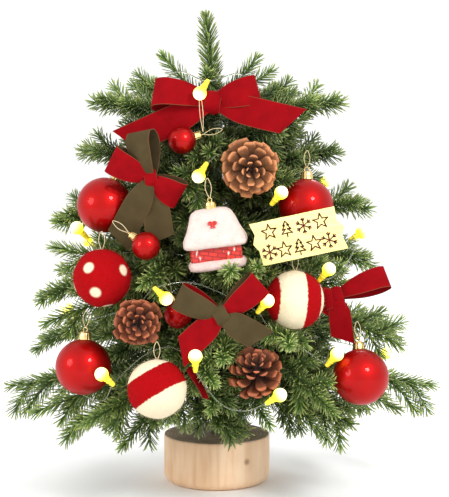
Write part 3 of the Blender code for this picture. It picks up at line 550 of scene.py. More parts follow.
def board_finish():
    made = Finish("board_yellow", (0.93, 0.82, 0.3), 0.55, specular_ior_level=0.3)
    grain = made.noise(260, 4.0, made.place(scale=(0.12, 1, 1), rotation=(0, SIGN_TURN, 0)))
    made.mottle(grain, (0.86, 0.73, 0.25), (0.95, 0.86, 0.36))
    made.bump(grain, 0.15, 0.0003)
    return made.material


def brush_paint(name, roughness, colour, grain, dark, pale):
    made = Finish(name, colour, roughness)
    made.mottle(grain, dark, pale)
    return made.material


def red_paint():
    return brush_paint("brush_red", 0.35, (0.62, 0.012, 0.012), 800, (0.48, 0.008, 0.008), (0.7, 0.02, 0.016))


def brown_paint():
    return brush_paint("brush_brown", 0.5, (0.18, 0.03, 0.014), 900, (0.11, 0.018, 0.01), (0.24, 0.045, 0.02))


def globe_finish(settings):
    """A milky globe that glows white, and yellow round its socket."""
    glow = settings.glow if settings.lit else 0.0
    made = Finish("lamp_globe", (0.95, 0.9, 0.55), 0.25, emission_strength=glow)
    colour = made.ramp(
        made.attribute("along"), (0.0, (1.0, 0.97, 0.62)), (0.4, (1.0, 0.94, 0.34)), (0.7, (0.96, 0.84, 0.03))
    )
    made.colour(colour)
    made.feed("Emission Color", colour)
    return made.material


def socket_finish():
    made = Finish("lamp_socket", (0.8, 0.64, 0.03), 0.3, emission_strength=0.3)
    made.set("Emission Color", (1.0, 0.72, 0.02, 1))
    made.mottle(700, (0.66, 0.5, 0.02), (0.85, 0.72, 0.05))
    return made.material


def lead_finish():
    made = Finish("clear_lead", (0.5, 0.55, 0.4), 0.1, transmission_weight=0.85, ior=1.45)
    made.mottle(300, (0.4, 0.46, 0.32), (0.6, 0.64, 0.5))
    return made.material


def thread_finish():
    made = Finish("gold_thread", (0.72, 0.56, 0.3), 0.55, metallic=0.2)
    twist = made.noise(1500, 2.0, made.place(scale=(1, 1, 2.5)))
    made.mottle(twist, (0.52, 0.38, 0.18), (0.86, 0.72, 0.46))
    made.bump(twist, 0.4, 0.0002)
    return made.material


def plastic_finish(name, colour):
    made = Finish(name, colour, 0.42, specular_ior_level=0.45)
    made.mottle(120, shade(colour, 0.94), colour)
    made.bump(made.noise(2400, 3.0), 0.18, 0.0002)
    return made.material


def sleeve_finish():
    """A cell's printed sleeve: dark, with a plain copper band at its button end."""
    made = Finish("cell_sleeve", (0.03, 0.03, 0.035), 0.3, coat_weight=0.4)
    height = made.height()
    dark = made.ramp(made.noise(500), (0.3, (0.022, 0.022, 0.026)), (0.7, (0.05, 0.05, 0.055)))
    made.colour(made.mix(made.level(height, 0.205, 0.2054), dark, (0.62, 0.3, 0.12)))
    return made.material


def steel_finish():
    made = Finish("cell_steel", (0.7, 0.7, 0.72), 0.28, metallic=1.0)
    made.bump(made.noise(1500, 2.0), 0.1, 0.0002)
    return made.material


def sweep_finish():
    made = Finish("pale_floor", (0.93, 0.93, 0.93), 0.85)
    made.mottle(6, grey(0.92), grey(0.94))
    return made.material


# Shapes


def link_object(name, data):
    made = bpy.data.objects.new(name, data)
    bpy.context.scene.collection.objects.link(made)
    return made


def polar(radius, angle, height=0.0):
    return Vector((radius * cos(angle), radius * sin(angle), height))


def full_turn(count):
    """Evenly spaced angles round a circle."""
    return [2 * pi * k / count for k in range(count)]


class Shape:
    """Faces being gathered for one piece, with a material number and an "along" value for each."""

    def __init__(self):
        self.points, self.faces, self.finishes, self.along, self.uvs = [], [], [], [], []

    def add(self, points, faces, finish=0, along=None, uvs=None):
        start = len(self.points)
        self.points += [Vector(p) for p in points]
        self.faces += [tuple(start + i for i in face) for face in faces]
        self.finishes += [finish] * len(faces)
        self.along += list(along) if along else [0.0] * len(points)
        self.uvs += list(uvs) if uvs else [(0.5, 0.0)] * len(points)

    def rings(self, rings, finish=0, along=None, closed=False):
        """A skin over rings of equal length, closed into itself or else capped at both ends."""
        count = len(rings[0])
        faces = []
        steps = len(rings) if closed else len(rings) - 1
        for r in range(steps):
            low, high = r * count, (r + 1) % len(rings) * count
            for i in range(count):
                j = (i + 1) % count
                faces.append((low + i, low + j, high + j, high + i))
        if not closed:
            faces.append(tuple(range(count))[::-1])
            faces.append(tuple((len(rings) - 1) * count + i for i in range(count)))
        spread = [value for value in along for _ in range(count)] if along else None
        self.add([p for ring in rings for p in ring], faces, finish, spread)

    def lathe(self, profile, sides=24, place=None, finish=0, along=None, wave=None, closed=False):
        """A turned skin about Z from (radius, height) points; wave changes the radius round the axis."""
        rings = []
        for k, (radius, height) in enumerate(profile):
            ring = []
            for angle in full_turn(sides):
                swelled = max(radius, 1e-5) * (wave(angle, k) if wave else 1)
                ring.append(polar(swelled, angle, height))
            rings.append([place @ p for p in ring] if place else ring)
        self.rings(rings, finish, along=along, closed=closed)

    def tube(self, path, radius, sides=6, finish=0, closed=False):
        """A round tube along the path; radius is one value or one for each point."""
        radii = radius if hasattr(radius, "__len__") else [radius] * len(path)
        rings = []
        normal = None
        for i, point in enumerate(path):
            ahead = path[(i + 1) % len(path)] if closed or i + 1 < len(path) else path[i]
            behind = path[i - 1] if closed or i else path[0]
            along_path = (ahead - behind).normalized()
            if normal is None:
                normal = along_path.orthogonal().normalized()
            normal = (normal - along_path * normal.dot(along_path)).normalized()
            side = along_path.cross(normal)
            rings.append([
                point + (normal * cos(a) + side * sin(a)) * radii[i]
                for a in full_turn(sides)
            ])
        self.rings(rings, finish, closed=closed)

    def object(self, name, finishes, smooth=True, merge=1e-6):
        mesh = bpy.data.meshes.new(name)
        mesh.from_pydata(self.points, [], self.faces)
        for finish in finishes:
            mesh.materials.append(finish)
        mesh.polygons.foreach_set("material_index", self.finishes)
        mesh.attributes.new("along", "FLOAT", "POINT").data.foreach_set("value", self.along)
        layer = mesh.uv_layers.new(name="UVMap")
        for loop in mesh.loops:
            layer.data[loop.index].uv = self.uvs[loop.vertex_index]
        work = bmesh.new()
        work.from_mesh(mesh)
        bmesh.ops.remove_doubles(work, verts=work.verts, dist=merge)
        bmesh.ops.recalc_face_normals(work, faces=work.faces)
        work.to_mesh(mesh)
        work.free()
        if smooth:
            mesh.shade_smooth()
        return link_object(name, mesh)


def sharpen(piece, degrees):
    piece.data.set_sharp_from_angle(angle=radians(degrees))


def bake_modifiers(piece):
    """Makes what the modifiers show the piece's own mesh."""
    bpy.context.view_layer.update()
    graph = bpy.context.evaluated_depsgraph_get()
    mesh = bpy.data.meshes.new_from_object(piece.evaluated_get(graph), depsgraph=graph)
    piece.modifiers.clear()
    piece.data = mesh
    return piece


def settle(piece, body, slot, *nodes):
    """The piece rides on its body, takes its slot's finish and stands for the nodes."""
    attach(piece, body)
    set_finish(piece, slot)
    if nodes:
        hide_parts(*nodes)
    return piece


def put(shape, name, finishes, body, slot, *nodes, sharp=38):
    """The shape as a settled piece, with its edges sharp from that many degrees on."""
    piece = shape.object(name, finishes)
    if sharp:
        sharpen(piece, sharp)
    return settle(piece, body, slot, *nodes)


def stand(centre, direction):
    """A placing matrix that takes the origin to the centre and +Z to the direction."""
    turned = Vector(direction).normalized().to_track_quat("Z", "Y").to_matrix().to_4x4()
    return Matrix.Translation(centre) @ turned


def compass(azimuth):
    return polar(1, radians(azimuth))


def climbing(azimuth, degrees_up):
    """The unit vector at that azimuth and that slope."""
    return compass(azimuth) * cos(radians(degrees_up)) + UP * sin(radians(degrees_up))


def curve_value(a, b, c, d, t):
    """The Catmull-Rom value a share t of the way from b to c."""
    return (2 * b + (c - a) * t + (2 * a - 5 * b + 4 * c - d) * t ** 2 + (3 * b - a - 3 * c + d) * t ** 3) / 2


def smooth_route(points, step):
    """Points about a step apart on a smooth curve through the given ones."""
    points = [Vector(p) for p in points]
    padded = [points[0] * 2 - points[1]] + points + [points[-1] * 2 - points[-2]]
    made = []
    for a, b, c, d in zip(padded, padded[1:], padded[2:], padded[3:]):
        count = max(1, round((c - b).length / step))
        made += [curve_value(a, b, c, d, i / count) for i in range(count)]
    return made + [points[-1]]


def path_length(points):
    return sum((b - a).length for a, b in zip(points, points[1:]))


def along_path(points, share):
    """The point at that share of the path."""
    position = min(max(share, 0), 0.9999) * (len(points) - 1)
    near = int(position)
    return points[near].lerp(points[near + 1], position - near)


def node_sphere(node):
    """Centre and radius of a round CAD node."""
    low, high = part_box(node)
    return (low + high) / 2, max(high - low) / 2


def joint_of(body):
    return next(j for j in frame["joints"] if j["child"] == body)


# Geometry Nodes


class Recipe:
    """A Geometry Nodes tree being made; its inputs are given as name=kind, and each run sets them all."""

    def __init__(self, name, **inputs):
        self.tree = bpy.data.node_groups.new(name, "GeometryNodeTree")
        self.tree.interface.new_socket("Geometry", in_out="INPUT", socket_type="NodeSocketGeometry")
        for name, kind in inputs.items():
            label = name.replace("_", " ").capitalize()
            self.tree.interface.new_socket(label, in_out="INPUT", socket_type="NodeSocket" + kind)
        self.tree.interface.new_socket("Geometry", in_out="OUTPUT", socket_type="NodeSocketGeometry")
        self.start = self.tree.nodes.new("NodeGroupInput")
        self.end = self.tree.nodes.new("NodeGroupOutput")

    def node(self, kind, inputs=(), **values):
        return add_node(self.tree, kind, inputs, values)

    def geometry(self, kind, inputs=(), **values):
        return self.node("GeometryNode" + kind, inputs, **values)

    def math(self, operation, *terms):
        return self.node("ShaderNodeMath", dict(enumerate(terms)), operation=operation).outputs[0]

    def add(self, first, second):
        return self.math("ADD", first, second)

    def times(self, first, second):
        return self.math("MULTIPLY", first, second)

    def scaled(self, value, factor, start):
        """The value times the factor, from the start."""
        return self.math("MULTIPLY_ADD", value, factor, start)

    def random(self, low, high, shift=0):
        """A random value for each element, from the recipe's seed and the shift."""
        fields = {2: low, 3: high, "Seed": self.add(self.start.outputs["Seed"], shift)}
        return self.node("FunctionNodeRandomValue", fields, data_type="FLOAT").outputs[1]

    def index(self):
        return self.geometry("InputIndex").outputs["Index"]

    def painted(self, geometry, finish):
        fields = {"Geometry": geometry, "Material": finish}
        return self.geometry("SetMaterial", fields).outputs["Geometry"]

    def copies(self, points, piece, **fields):
        """The piece on every point, as instances."""
        shape = self.geometry("ObjectInfo", {"Object": piece}).outputs["Geometry"]
        fields = {"Points": points, "Instance": shape, **fields}
        return self.geometry("InstanceOnPoints", fields).outputs["Instances"]

    def realized(self, instances):
        return self.geometry("RealizeInstances", {"Geometry": instances}).outputs["Geometry"]

    def joined(self, first, second):
        made = self.geometry("JoinGeometry")
        for part in (first, second):
            self.tree.links.new(part, made.inputs["Geometry"])
        return made.outputs["Geometry"]

    def named(self, name):
        return self.geometry("InputNamedAttribute", {"Name": name}, data_type="FLOAT").outputs["Attribute"]

    def store(self, geometry, name, value, domain="POINT"):
        fields = {"Geometry": geometry, "Name": name, "Value": value}
        made = self.geometry("StoreNamedAttribute", fields, data_type="FLOAT", domain=domain)
        return made.outputs["Geometry"]

    def turn(self, rotation, angles):
        """The rotation with local Euler angles added."""
        added = self.node("FunctionNodeEulerToRotation", {"Euler": angles}).outputs["Rotation"]
        fields = {"Rotation": rotation, "Rotate By": added}
        return self.node("FunctionNodeRotateRotation", fields, rotation_space="LOCAL").outputs["Rotation"]

    def vector(self, x=0.0, y=0.0, z=0.0):
        return self.node("ShaderNodeCombineXYZ", {"X": x, "Y": y, "Z": z}).outputs["Vector"]

    def finish(self, geometry):
        self.tree.links.new(geometry, self.end.inputs["Geometry"])
        return self.tree


def run_recipe(piece, tree, **values):
    """Puts the tree on the piece with these inputs and keeps what it makes as a plain mesh."""
    step = piece.modifiers.new("recipe", "NODES")
    step.node_group = tree
    wanted = {label.replace("_", " ").capitalize(): value for label, value in values.items()}
    for item in tree.interface.items_tree:
        if item.in_out == "INPUT" and item.name in wanted:
            step[item.identifier] = wanted.pop(item.name)
    if wanted:
        raise ValueError(f"{tree.name} has no inputs {sorted(wanted)}")
    return bake_modifiers(piece)


SHORTEST_NEEDLE = 0.0035
NEEDLE_BREADTH = 0.0135


def needle_recipe():
    """Needles set in a spiral round every twig, shortened where an ornament stands in their way."""
    made = Recipe(
        "needles_on_twigs",
        length="Float", spacing="Float", root_tilt="Float", tip_tilt="Float", needle="Object",
        obstacles="Object", needle_finish="Material", twig_finish="Material", seed="Int",
    )
    given = made.start.outputs
    curves = made.geometry("MeshToCurve", {"Mesh": given["Geometry"]}).outputs["Curve"]
    share = made.geometry("SplineParameter").outputs["Factor"]
    curves = made.store(curves, "share", share)
    thick = made.geometry("SetCurveRadius", {"Curve": curves, "Radius": made.named("thick")}).outputs["Curve"]
    circle = made.geometry("CurvePrimitiveCircle", {"Resolution": 5, "Radius": 1.0}, mode="RADIUS")
    fields = {
        "Curve": thick, "Profile Curve": circle.outputs["Curve"], "Scale": made.named("thick"),
        "Fill Caps": True,
    }
    bark = made.painted(made.geometry("CurveToMesh", fields).outputs["Mesh"], given["Twig finish"])

    spots = made.geometry("CurveToPoints", {"Curve": curves, "Length": given["Spacing"]}, mode="LENGTH")
    roll = made.add(made.times(made.index(), GOLDEN_TURN), made.random(-0.4, 0.4))
    eased = made.math("POWER", made.named("share"), 3.0)
    closing = made.math("SUBTRACT", given["Tip tilt"], given["Root tilt"])
    tilt = made.add(given["Root tilt"], made.times(eased, closing))
    tilt = made.add(tilt, made.random(-0.07, 0.07, 7))
    fields = {"Vector": spots.outputs["Tangent"]}
    lined = made.node("FunctionNodeAlignRotationToVector", fields, axis="Z").outputs["Rotation"]
    turned = made.turn(made.turn(lined, made.vector(z=roll)), made.vector(x=tilt))
    blunt = made.scaled(made.math("POWER", made.named("share"), 8.0), -0.38, 1.0)
    size = made.times(given["Length"], made.times(blunt, made.named("size")))
    size = made.times(size, made.random(0.88, 1.05, 13))

    fields = {"Vector": (0, 0, 1), "Rotation": turned}
    heading = made.node("FunctionNodeRotateVector", fields).outputs["Vector"]
    target = made.geometry("ObjectInfo", {"Object": given["Obstacles"]}).outputs["Geometry"]
    fields = {"Target Geometry": target, "Ray Direction": heading, "Ray Length": size}
    ray = made.geometry("Raycast", fields)
    free = made.times(ray.outputs["Hit Distance"], 0.94)
    fields = {"Switch": ray.outputs["Is Hit"], "False": size, "True": free}
    length = made.geometry("Switch", fields, input_type="FLOAT").outputs["Output"]
    fields = {"A": length, "B": SHORTEST_NEEDLE}
    kept = made.node("FunctionNodeCompare", fields, data_type="FLOAT", operation="GREATER_THAN")
    needles = made.copies(
        spots.outputs["Points"], given["Needle"], Selection=kept.outputs["Result"], Rotation=turned,
        Scale=made.vector(NEEDLE_BREADTH, NEEDLE_BREADTH, length),
    )
    needles = made.store(needles, "tone", made.random(0.0, 1.0, 21), "INSTANCE")
    return made.finish(made.joined(bark, made.painted(made.realized(needles), given["Needle finish"])))


def needle_shape():
    """One needle, a metre long before it is scaled: flat, three-sided and slightly bowed."""
    shape = Shape()
    half_width, bow = 0.05, 0.03
    stations = ((0.0, 0.8, 0.0), (0.8, 1.0, bow))
    rings = [
        [Vector((half_width * w * cos(a), half_width * 0.8 * w * sin(a) + lift, z))
         for a in (0.5, 2.6, 4.7)]
        for z, w, lift in stations
    ]
    shape.add(
        [p for ring in rings for p in ring] + [Vector((0, -bow * 0.6, 1))],
        [(0, 1, 4, 3), (1, 2, 5, 4), (2, 0, 3, 5), (3, 4, 6), (4, 5, 6), (5, 3, 6)],
        along=[0.0] * 3 + [0.8] * 3 + [1.0],
    )
    return shape.object("needle_shape", [])


def skin_of(piece):
    """The piece's points and faces."""
    return [v.co for v in piece.data.vertices], [tuple(p.vertices) for p in piece.data.polygons]


def obstacle_object():
    """The finished ornaments' skins as one mesh, for the needles to keep out of."""
    shape = Shape()
    for piece in list(bpy.context.scene.objects):
        if piece.type == "MESH" and piece.get("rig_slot") in ORNAMENT_SLOTS:
            shape.add(*skin_of(piece))
    return shape.object("obstacles", [], smooth=False, merge=1e-9)


# Foliage

# Root and tip radii of the sprigs' stems and of their twigs
STEM_RADII = (0.0017, 0.0007)
TWIG_RADII = (0.0012, 0.0006)
INNER_STEM_RADII = (0.0015, 0.0007)
FRONT_STEM_RADII = (0.0014, 0.0006)
THIN_TWIG_RADII = (0.0011, 0.0006)

# Where along a branch the model's twigs and the shorter ones between them start
TWIG_PLACES = (0.36, 0.5, 0.64, 0.78)
FILL_PLACES = (0.27, 0.43, 0.57, 0.71, 0.88)

# How far stems and twigs keep from the ornaments, and the shortest ones that are kept
STEM_ROOM, TWIG_ROOM, FRONT_ROOM = 0.0045, 0.0035, 0.002
SHORTEST_STEM, SHORTEST_TWIG = 0.03, 0.012
SHORTEST_FRONT_STEM, SHORTEST_FRONT_TWIG = 0.015, 0.01

# Root and tip of each sprig in front
FRONT_SPRIGS = (
    ((-0.004, -0.06, 0.3), (-0.04, -0.142, 0.268)), ((0.01, -0.09, 0.198), (0.013, -0.174, 0.222)),
    ((0.0, -0.03, 0.3), (-0.006, -0.1, 0.318)), ((0.06, -0.06, 0.15), (0.062, -0.172, 0.158)),
    ((0.11, -0.08, 0.165), (0.16, -0.12, 0.15)), ((0.01, -0.08, 0.15), (0.006, -0.172, 0.146)),
    ((-0.03, -0.08, 0.14), (-0.002, -0.17, 0.126)), ((0.006, -0.05, 0.118), (-0.004, -0.15, 0.098)),
    ((0.01, -0.05, 0.116), (0.046, -0.142, 0.084)), ((-0.01, -0.05, 0.116), (-0.044, -0.14, 0.086)),
    ((-0.02, -0.04, 0.112), (-0.082, -0.118, 0.06)), ((0.03, -0.04, 0.118), (0.092, -0.122, 0.072)),
    ((0.05, -0.06, 0.13), (0.1, -0.16, 0.098)), ((0.06, -0.04, 0.12), (0.16, -0.112, 0.092)),
    ((-0.06, -0.06, 0.112), (-0.16, -0.11, 0.088)), ((-0.03, -0.05, 0.112), (-0.112, -0.15, 0.086)),
    ((0.0, -0.06, 0.25), (-0.02, -0.12, 0.222)), ((0.04, -0.06, 0.28), (0.066, -0.13, 0.318)),
    ((0.04, -0.05, 0.25), (0.122, -0.12, 0.262)), ((-0.05, -0.06, 0.2), (-0.14, -0.12, 0.236)),
    ((-0.06, -0.06, 0.19), (-0.15, -0.11, 0.168)), ((0.06, -0.06, 0.2), (0.14, -0.12, 0.196)),
    ((-0.02, -0.05, 0.32), (-0.062, -0.098, 0.33)), ((0.02, -0.05, 0.33), (0.058, -0.098, 0.334)),
    ((-0.03, -0.06, 0.22), (-0.062, -0.14, 0.206)), ((0.03, -0.07, 0.19), (0.036, -0.15, 0.222)),
)


class Twigs:
    """Twig centrelines being gathered for one piece of foliage."""

    def __init__(self):
        self.points, self.edges, self.thick, self.size = [], [], [], []

    def add(self, path, root_radius, tip_radius, size=1.0):
        start = len(self.points)
        self.points += path
        self.edges += [(start + i, start + i + 1) for i in range(len(path) - 1)]
        for i in range(len(path)):
            self.thick.append(root_radius + (tip_radius - root_radius) * i / (len(path) - 1))
        self.size += [size] * len(path)

    def object(self, name):
        mesh = bpy.data.meshes.new(name)
        mesh.from_pydata(self.points, self.edges, [])
        mesh.attributes.new("thick", "FLOAT", "POINT").data.foreach_set("value", self.thick)
        mesh.attributes.new("size", "FLOAT", "POINT").data.foreach_set("value", self.size)
        return link_object(name, mesh)


def arched(start, end, arch, steps):
    return [
        start.lerp(end, i / steps) + UP * 4 * arch * (i / steps) * (1 - i / steps) for i in range(steps + 1)
    ]


def branch_twigs(root, pitch, azimuth, reach, tip_height, first_side, draw):
    """A branch's stem, the model's four twigs and the shorter ones between them."""
    outwards = compass(azimuth)
    tip = outwards * (reach - 0.008) + UP * tip_height
    stem = arched(outwards * STEM_ROOT + UP * root, tip, STEM_ARCH, 12)
    twigs = Twigs()
    bare = round(len(stem) * 0.22)
    twigs.add(stem[bare:], *STEM_RADII, 1.0)
    twigs.add(stem[: bare + 1], 0.0019, STEM_RADII[0], 0.62)
    for places, swing, share in ((TWIG_PLACES, 0, 1.0), (FILL_PLACES, 22, 0.86)):
        for k, place in enumerate(places):
            side = first_side if k % 2 == 0 else -first_side
            if share < 1:
                side = -side
            yaw = side * (TWIG_YAW + draw.uniform(-4, 4) * (share < 1))
            rise = pitch + (swing if k % 2 else -swing * 0.4) + draw.uniform(-3, 3)
            direction = climbing(azimuth + yaw, rise)
            length = TWIG_LENGTH * sqrt(reach / 0.2) * (1.1 - 0.45 * place) * share
            if place < 0.34:
                length *= 0.62
            start = along_path(stem, place)
            droop = -0.0035 if pitch < 0 else 0.002
            twigs.add(arched(start, start + direction * length, -droop, 6), *TWIG_RADII, 0.94)
    return twigs


def crown_twigs(draw):
    foot = Vector((0, 0, POLE_TOP))
    tip = foot + Vector(LEADER_TIP) * 0.9
    twigs = Twigs()
    for strand in (-0.0007, 0.0007):
        leader = [foot.lerp(tip, i / 10) + BACK * strand for i in range(1, 11)]
        twigs.add(leader, 0.0018, 0.0009, 1.06)
    for i, end in enumerate(CROWN_SHOOT_TIPS):
        root = foot.lerp(tip, (0.013 + i * 0.006) / LEADER_TIP[2])
        twigs.add(arched(root, foot + Vector(end), -0.004, 6), 0.0013, 0.0006, 0.92)
    for i in range(4):
        azimuth = i * 97 + 35
        root = foot.lerp(tip, 0.02 + 0.02 * i)
        reach = 0.034 - 0.002 * i
        rise = 0.004 + draw.uniform(-0.002, 0.002)
        end = root + compass(azimuth) * reach + UP * rise
        twigs.add(arched(root, end, -0.003, 5), *TWIG_RADII, 0.9)
    return twigs


def clear_part(path, solids, room):
    """The stretch of the path, from its root, that keeps the room from every ornament."""
    kept = []
    for point in path:
        if solids.find_nearest(point)[3] < room:
            break
        kept.append(point)
    return kept


def crown_reach(height):
    """How far out the foliage stands at a height: a cone with a drooping skirt."""
    return min(0.13, max(0.03, 0.16 - 0.36 * (height - 0.105)))


def inner_twigs(count, solids, draw):
    """Sprigs spread evenly round the tree from its skirt to its crown, in one lot for each tier."""
    lots = [Twigs() for _ in range(5)]
    for i in range(count):
        level = (i + 0.5) / count
        height = 0.1 + 0.232 * level
        azimuth = (i * 137.508) % 360
        reach = crown_reach(height) * draw.uniform(0.72, 0.98)
        outwards = compass(azimuth)
        rise = -0.034 + 0.052 * level + draw.uniform(-0.008, 0.008)
        start = outwards * 0.008 + UP * height
        end = outwards * reach + UP * (height + rise)
        stem = clear_part(arched(start, end, 0.006, 20), solids, STEM_ROOM)
        if path_length(stem) < SHORTEST_STEM:
            continue
        lot = lots[min(4, int(level * 5))]
        lot.add(stem[len(stem) // 5:], *INNER_STEM_RADII, 0.96)
        for k, place in enumerate((0.42, 0.56, 0.7, 0.84)):
            side = 1 if (k + i) % 2 else -1
            yaw = side * draw.uniform(36, 46)
            direction = climbing(azimuth + yaw, -24 + 38 * level + draw.uniform(-14, 14))
            length = draw.uniform(0.028, 0.04) * (1.15 - 0.4 * place)
            root = along_path(stem, place)
            twig = clear_part(arched(root, root + direction * length, -0.002, 8), solids, TWIG_ROOM)
            if path_length(twig) > SHORTEST_TWIG:
                lot.add(twig, *THIN_TWIG_RADII, 0.92)
    return lots


def front_twigs(solids, draw):
    """Sprigs that show between the ornaments in front, each from its root to its tip."""
    twigs = Twigs()
    for root, tip in FRONT_SPRIGS:
        stem = clear_part(arched(Vector(root), Vector(tip), 0.003, 16), solids, FRONT_ROOM)
        if path_length(stem) < SHORTEST_FRONT_STEM:
            continue
        twigs.add(stem, *FRONT_STEM_RADII, 0.98)
        direction = (stem[-1] - stem[0]).normalized()
        side = BACK.cross(direction).normalized()
        for k, place in enumerate((0.3, 0.48, 0.64)):
            turn = 1 if k % 2 else -1
            heading = (direction + side * turn * 0.85 + Vector((0, draw.uniform(-0.3, 0.3), 0))).normalized()
            start = along_path(stem, place)
            twig = clear_part(arched(start, start + heading * 0.026, 0.0015, 8), solids, FRONT_ROOM)
            if path_length(twig) > SHORTEST_FRONT_TWIG:
                twigs.add(twig, *THIN_TWIG_RADII, 0.9)
    return twigs


class TREE_OT_foliage(bpy.types.Operator):
    """Builds every branch, the crown and the sprigs between them"""

    bl_idname = "tabletop_tree.foliage"
    bl_label = "Foliage"

    def execute(self, context):
        settings = context.scene.tree_foliage
        recipe = needle_recipe()
        obstacles, needle = obstacle_object(), needle_shape()
        finishes = {"needle_finish": needle_finish(settings), "twig_finish": twig_finish()}

        def needled(name, twigs, body, seed, *nodes):
            piece = run_recipe(
                twigs.object(name), recipe, length=settings.needle_length, spacing=settings.needle_spacing,
                root_tilt=settings.root_tilt, tip_tilt=settings.tip_tilt, needle=needle, obstacles=obstacles,
                seed=seed, **finishes,
            )
            settle(piece, body, "needles", *nodes)

        draw = random.Random(11)
        seed = 1
        for tier, root, pitch, rows in TIERS:
            for number, (azimuth, reach, tip_height) in enumerate(rows, 1):
                first_side = 1 if number % 2 else -1
                twigs = branch_twigs(root, pitch, azimuth, reach, tip_height, first_side, draw)
                body = f"skirt_{number}" if tier == "skirt" else TREE
                node = f"{tier}_branch_{number}"
                needled(f"{tier}_sprigs_{number}", twigs, body, seed, node)
                seed += 1
        needled("crown_sprigs", crown_twigs(draw), TREE, seed, "crown_leader")
        solids = BVHTree.FromPolygons(*skin_of(obstacles))
        for number, lot in enumerate(inner_twigs(settings.inner_sprigs, solids, draw), 1):
            needled(f"inner_sprigs_{number}", lot, TREE, seed + number)
        needled("front_sprigs", front_twigs(solids, draw), TREE, seed + 9)
        for helper in (obstacles, needle):
            bpy.data.objects.remove(helper, do_unlink=True)
        return {"FINISHED"}


# Light string


def socket_end(lamp):
    centre, direction = LAMPS[lamp]
    return Vector(centre) + Vector(direction).normalized() * SOCKET_REACH


def lead_points():
    route = [socket_end(stop) if isinstance(stop, int) else Vector(stop) for stop in LEAD_ROUTE]
    return [Vector(LEAD_EXIT)] + route


def lead_curve(name, points, thickness, finish):
    """A cord as a bevelled curve of one open spline."""
    curve = bpy.data.curves.new(name, "CURVE")
    curve.dimensions = "3D"
    curve.bevel_depth = thickness / 2
    curve.bevel_resolution = 2
    curve.use_fill_caps = True
    spline = curve.splines.new("POLY")
    spline.points.add(len(points) - 1)
    for place, point in zip(spline.points, points):
        place.co = (*point, 1)
    spline.use_smooth = True
    curve.materials.append(finish)
    return link_object(name, curve)


class TREE_OT_light_string(bpy.types.Operator):
    """Lays the clear lead through the branches and puts a lamp on each of its sockets"""

    bl_idname = "tabletop_tree.light_string"
    bl_label = "Light string"

    def execute(self, context):
        settings = context.scene.tree_lights
        points = smooth_route(lead_points(), 0.004)
        lead = lead_curve("lead", points, settings.lead_thickness, lead_finish())
        finishes = [globe_finish(settings), socket_finish()]
        lamps = [self.lamp(number, settings, finishes) for number in range(len(LAMPS))]
        settle(lead, TREE, "clear_lead", "light_string")
        return {"FINISHED"}

    def lamp(self, number, settings, finishes):
        """A milky globe in a ribbed socket that is clipped over the lead."""
        centre, direction = LAMPS[number]
        place = stand(centre, direction)
        radius = settings.globe_radius
        shape = Shape()
        turns = [radians(a) for a in range(0, 151, 15)]
        globe = [(radius * sin(a), -radius * cos(a)) for a in turns] + [(0.0024, 0.0066)]
        shape.lathe(globe, 20, place, 0, along=[i / (len(globe) - 1) for i in range(len(globe))])
        socket = [
            (0.0024, 0.0056), (0.0031, 0.0058), (0.0032, 0.0066), (0.0027, 0.007), (0.0027, 0.008),
            (0.003, 0.0083), (0.003, 0.0089), (0.0025, 0.0093), (0.0023, 0.012), (0.0018, 0.0146),
            (0.0, 0.015),
        ]
        shape.lathe(socket, 14, place, 1)
        return put(shape, f"lamp_{number + 1}", finishes, TREE, "lamp_globe", sharp=50)


# Log and pole


TAPE_START = 0.0466
TAPE_DEPTH = 0.00062


class TREE_OT_log(bpy.types.Operator):
    """Turns the log base and winds the tape on the pole"""

    bl_idname = "tabletop_tree.log"
    bl_label = "Log and pole"

    def execute(self, context):
        self.log()
        self.pole()
        return {"FINISHED"}

    def log(self):
        radius, _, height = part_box("wood_base")[1]
        bore, floor, foot = 0.0044, height - 0.034, 0.009
        sides = 160
        profile = [(0.0, 0.0)]
        for turn in range(0, 91, 10):
            angle = radians(turn)
            profile.append((radius - foot * (1 - sin(angle)), foot * (1 - cos(angle))))
        profile += [(radius, foot + (height - foot) * share) for share in (0.2, 0.4, 0.6, 0.8, 0.95)]
        rim = len(profile)
        profile += [(radius - 0.0004, height - 0.0004), (radius - 0.0012, height), (radius * 0.8, height)]
        profile += [(radius * share, height) for share in (0.6, 0.4, 0.25)]
        profile += [(bore * 1.7, height), (bore * 1.25, height - 0.0006), (bore * 1.15, height - 0.003)]
        profile += [(bore, height - 0.008), (bore, floor), (0.0, floor)]

        def outline(angle, ring):
            x, y = cos(angle), sin(angle)
            wander = noise.noise(Vector((x * 1.3, y * 1.3, 0.4))) * 0.01
            fine = noise.noise(Vector((x * 9, y * 9, ring * 0.22))) * 0.0022
            share = 1.0 if ring < rim + 4 else 0.3
            return 1 - share * (0.01 + wander + abs(fine))

        shape = Shape()
        shape.lathe(profile, sides, wave=outline)
        top_start = rim * sides
        for index, face in enumerate(shape.faces):
            if min(face) >= top_start and len(face) == 4:
                shape.finishes[index] = 1
        finishes = [log_side_finish(), log_top_finish()]
        put(shape, "log", finishes, TREE, "pale_wood", "wood_base", sharp=50)

    def pole(self):
        low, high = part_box("trunk_pole")
        pitch, step, sides = 0.0095, 0.0012, 24
        rings = []
        height = TAPE_START
        while height < high.z:
            ring = []
            for angle in full_turn(sides):
                lap = (height / pitch + angle / (2 * pi)) % 1.0
                radius = POLE_RADIUS - TAPE_DEPTH + 0.0006 * lap ** 0.6
                ring.append(polar(radius, angle, height))
            rings.append(ring)
            height += step
        shape = Shape()
        shape.rings(rings)
        shape.lathe([(0.0, low.z), (0.0038, low.z), (0.004, 0.02), (0.004, 0.047), (0.0, 0.047)], 20)
        settle(shape.object("taped_pole", [tape_finish()]), TREE, "floral_tape", "trunk_pole")


# Hung balls


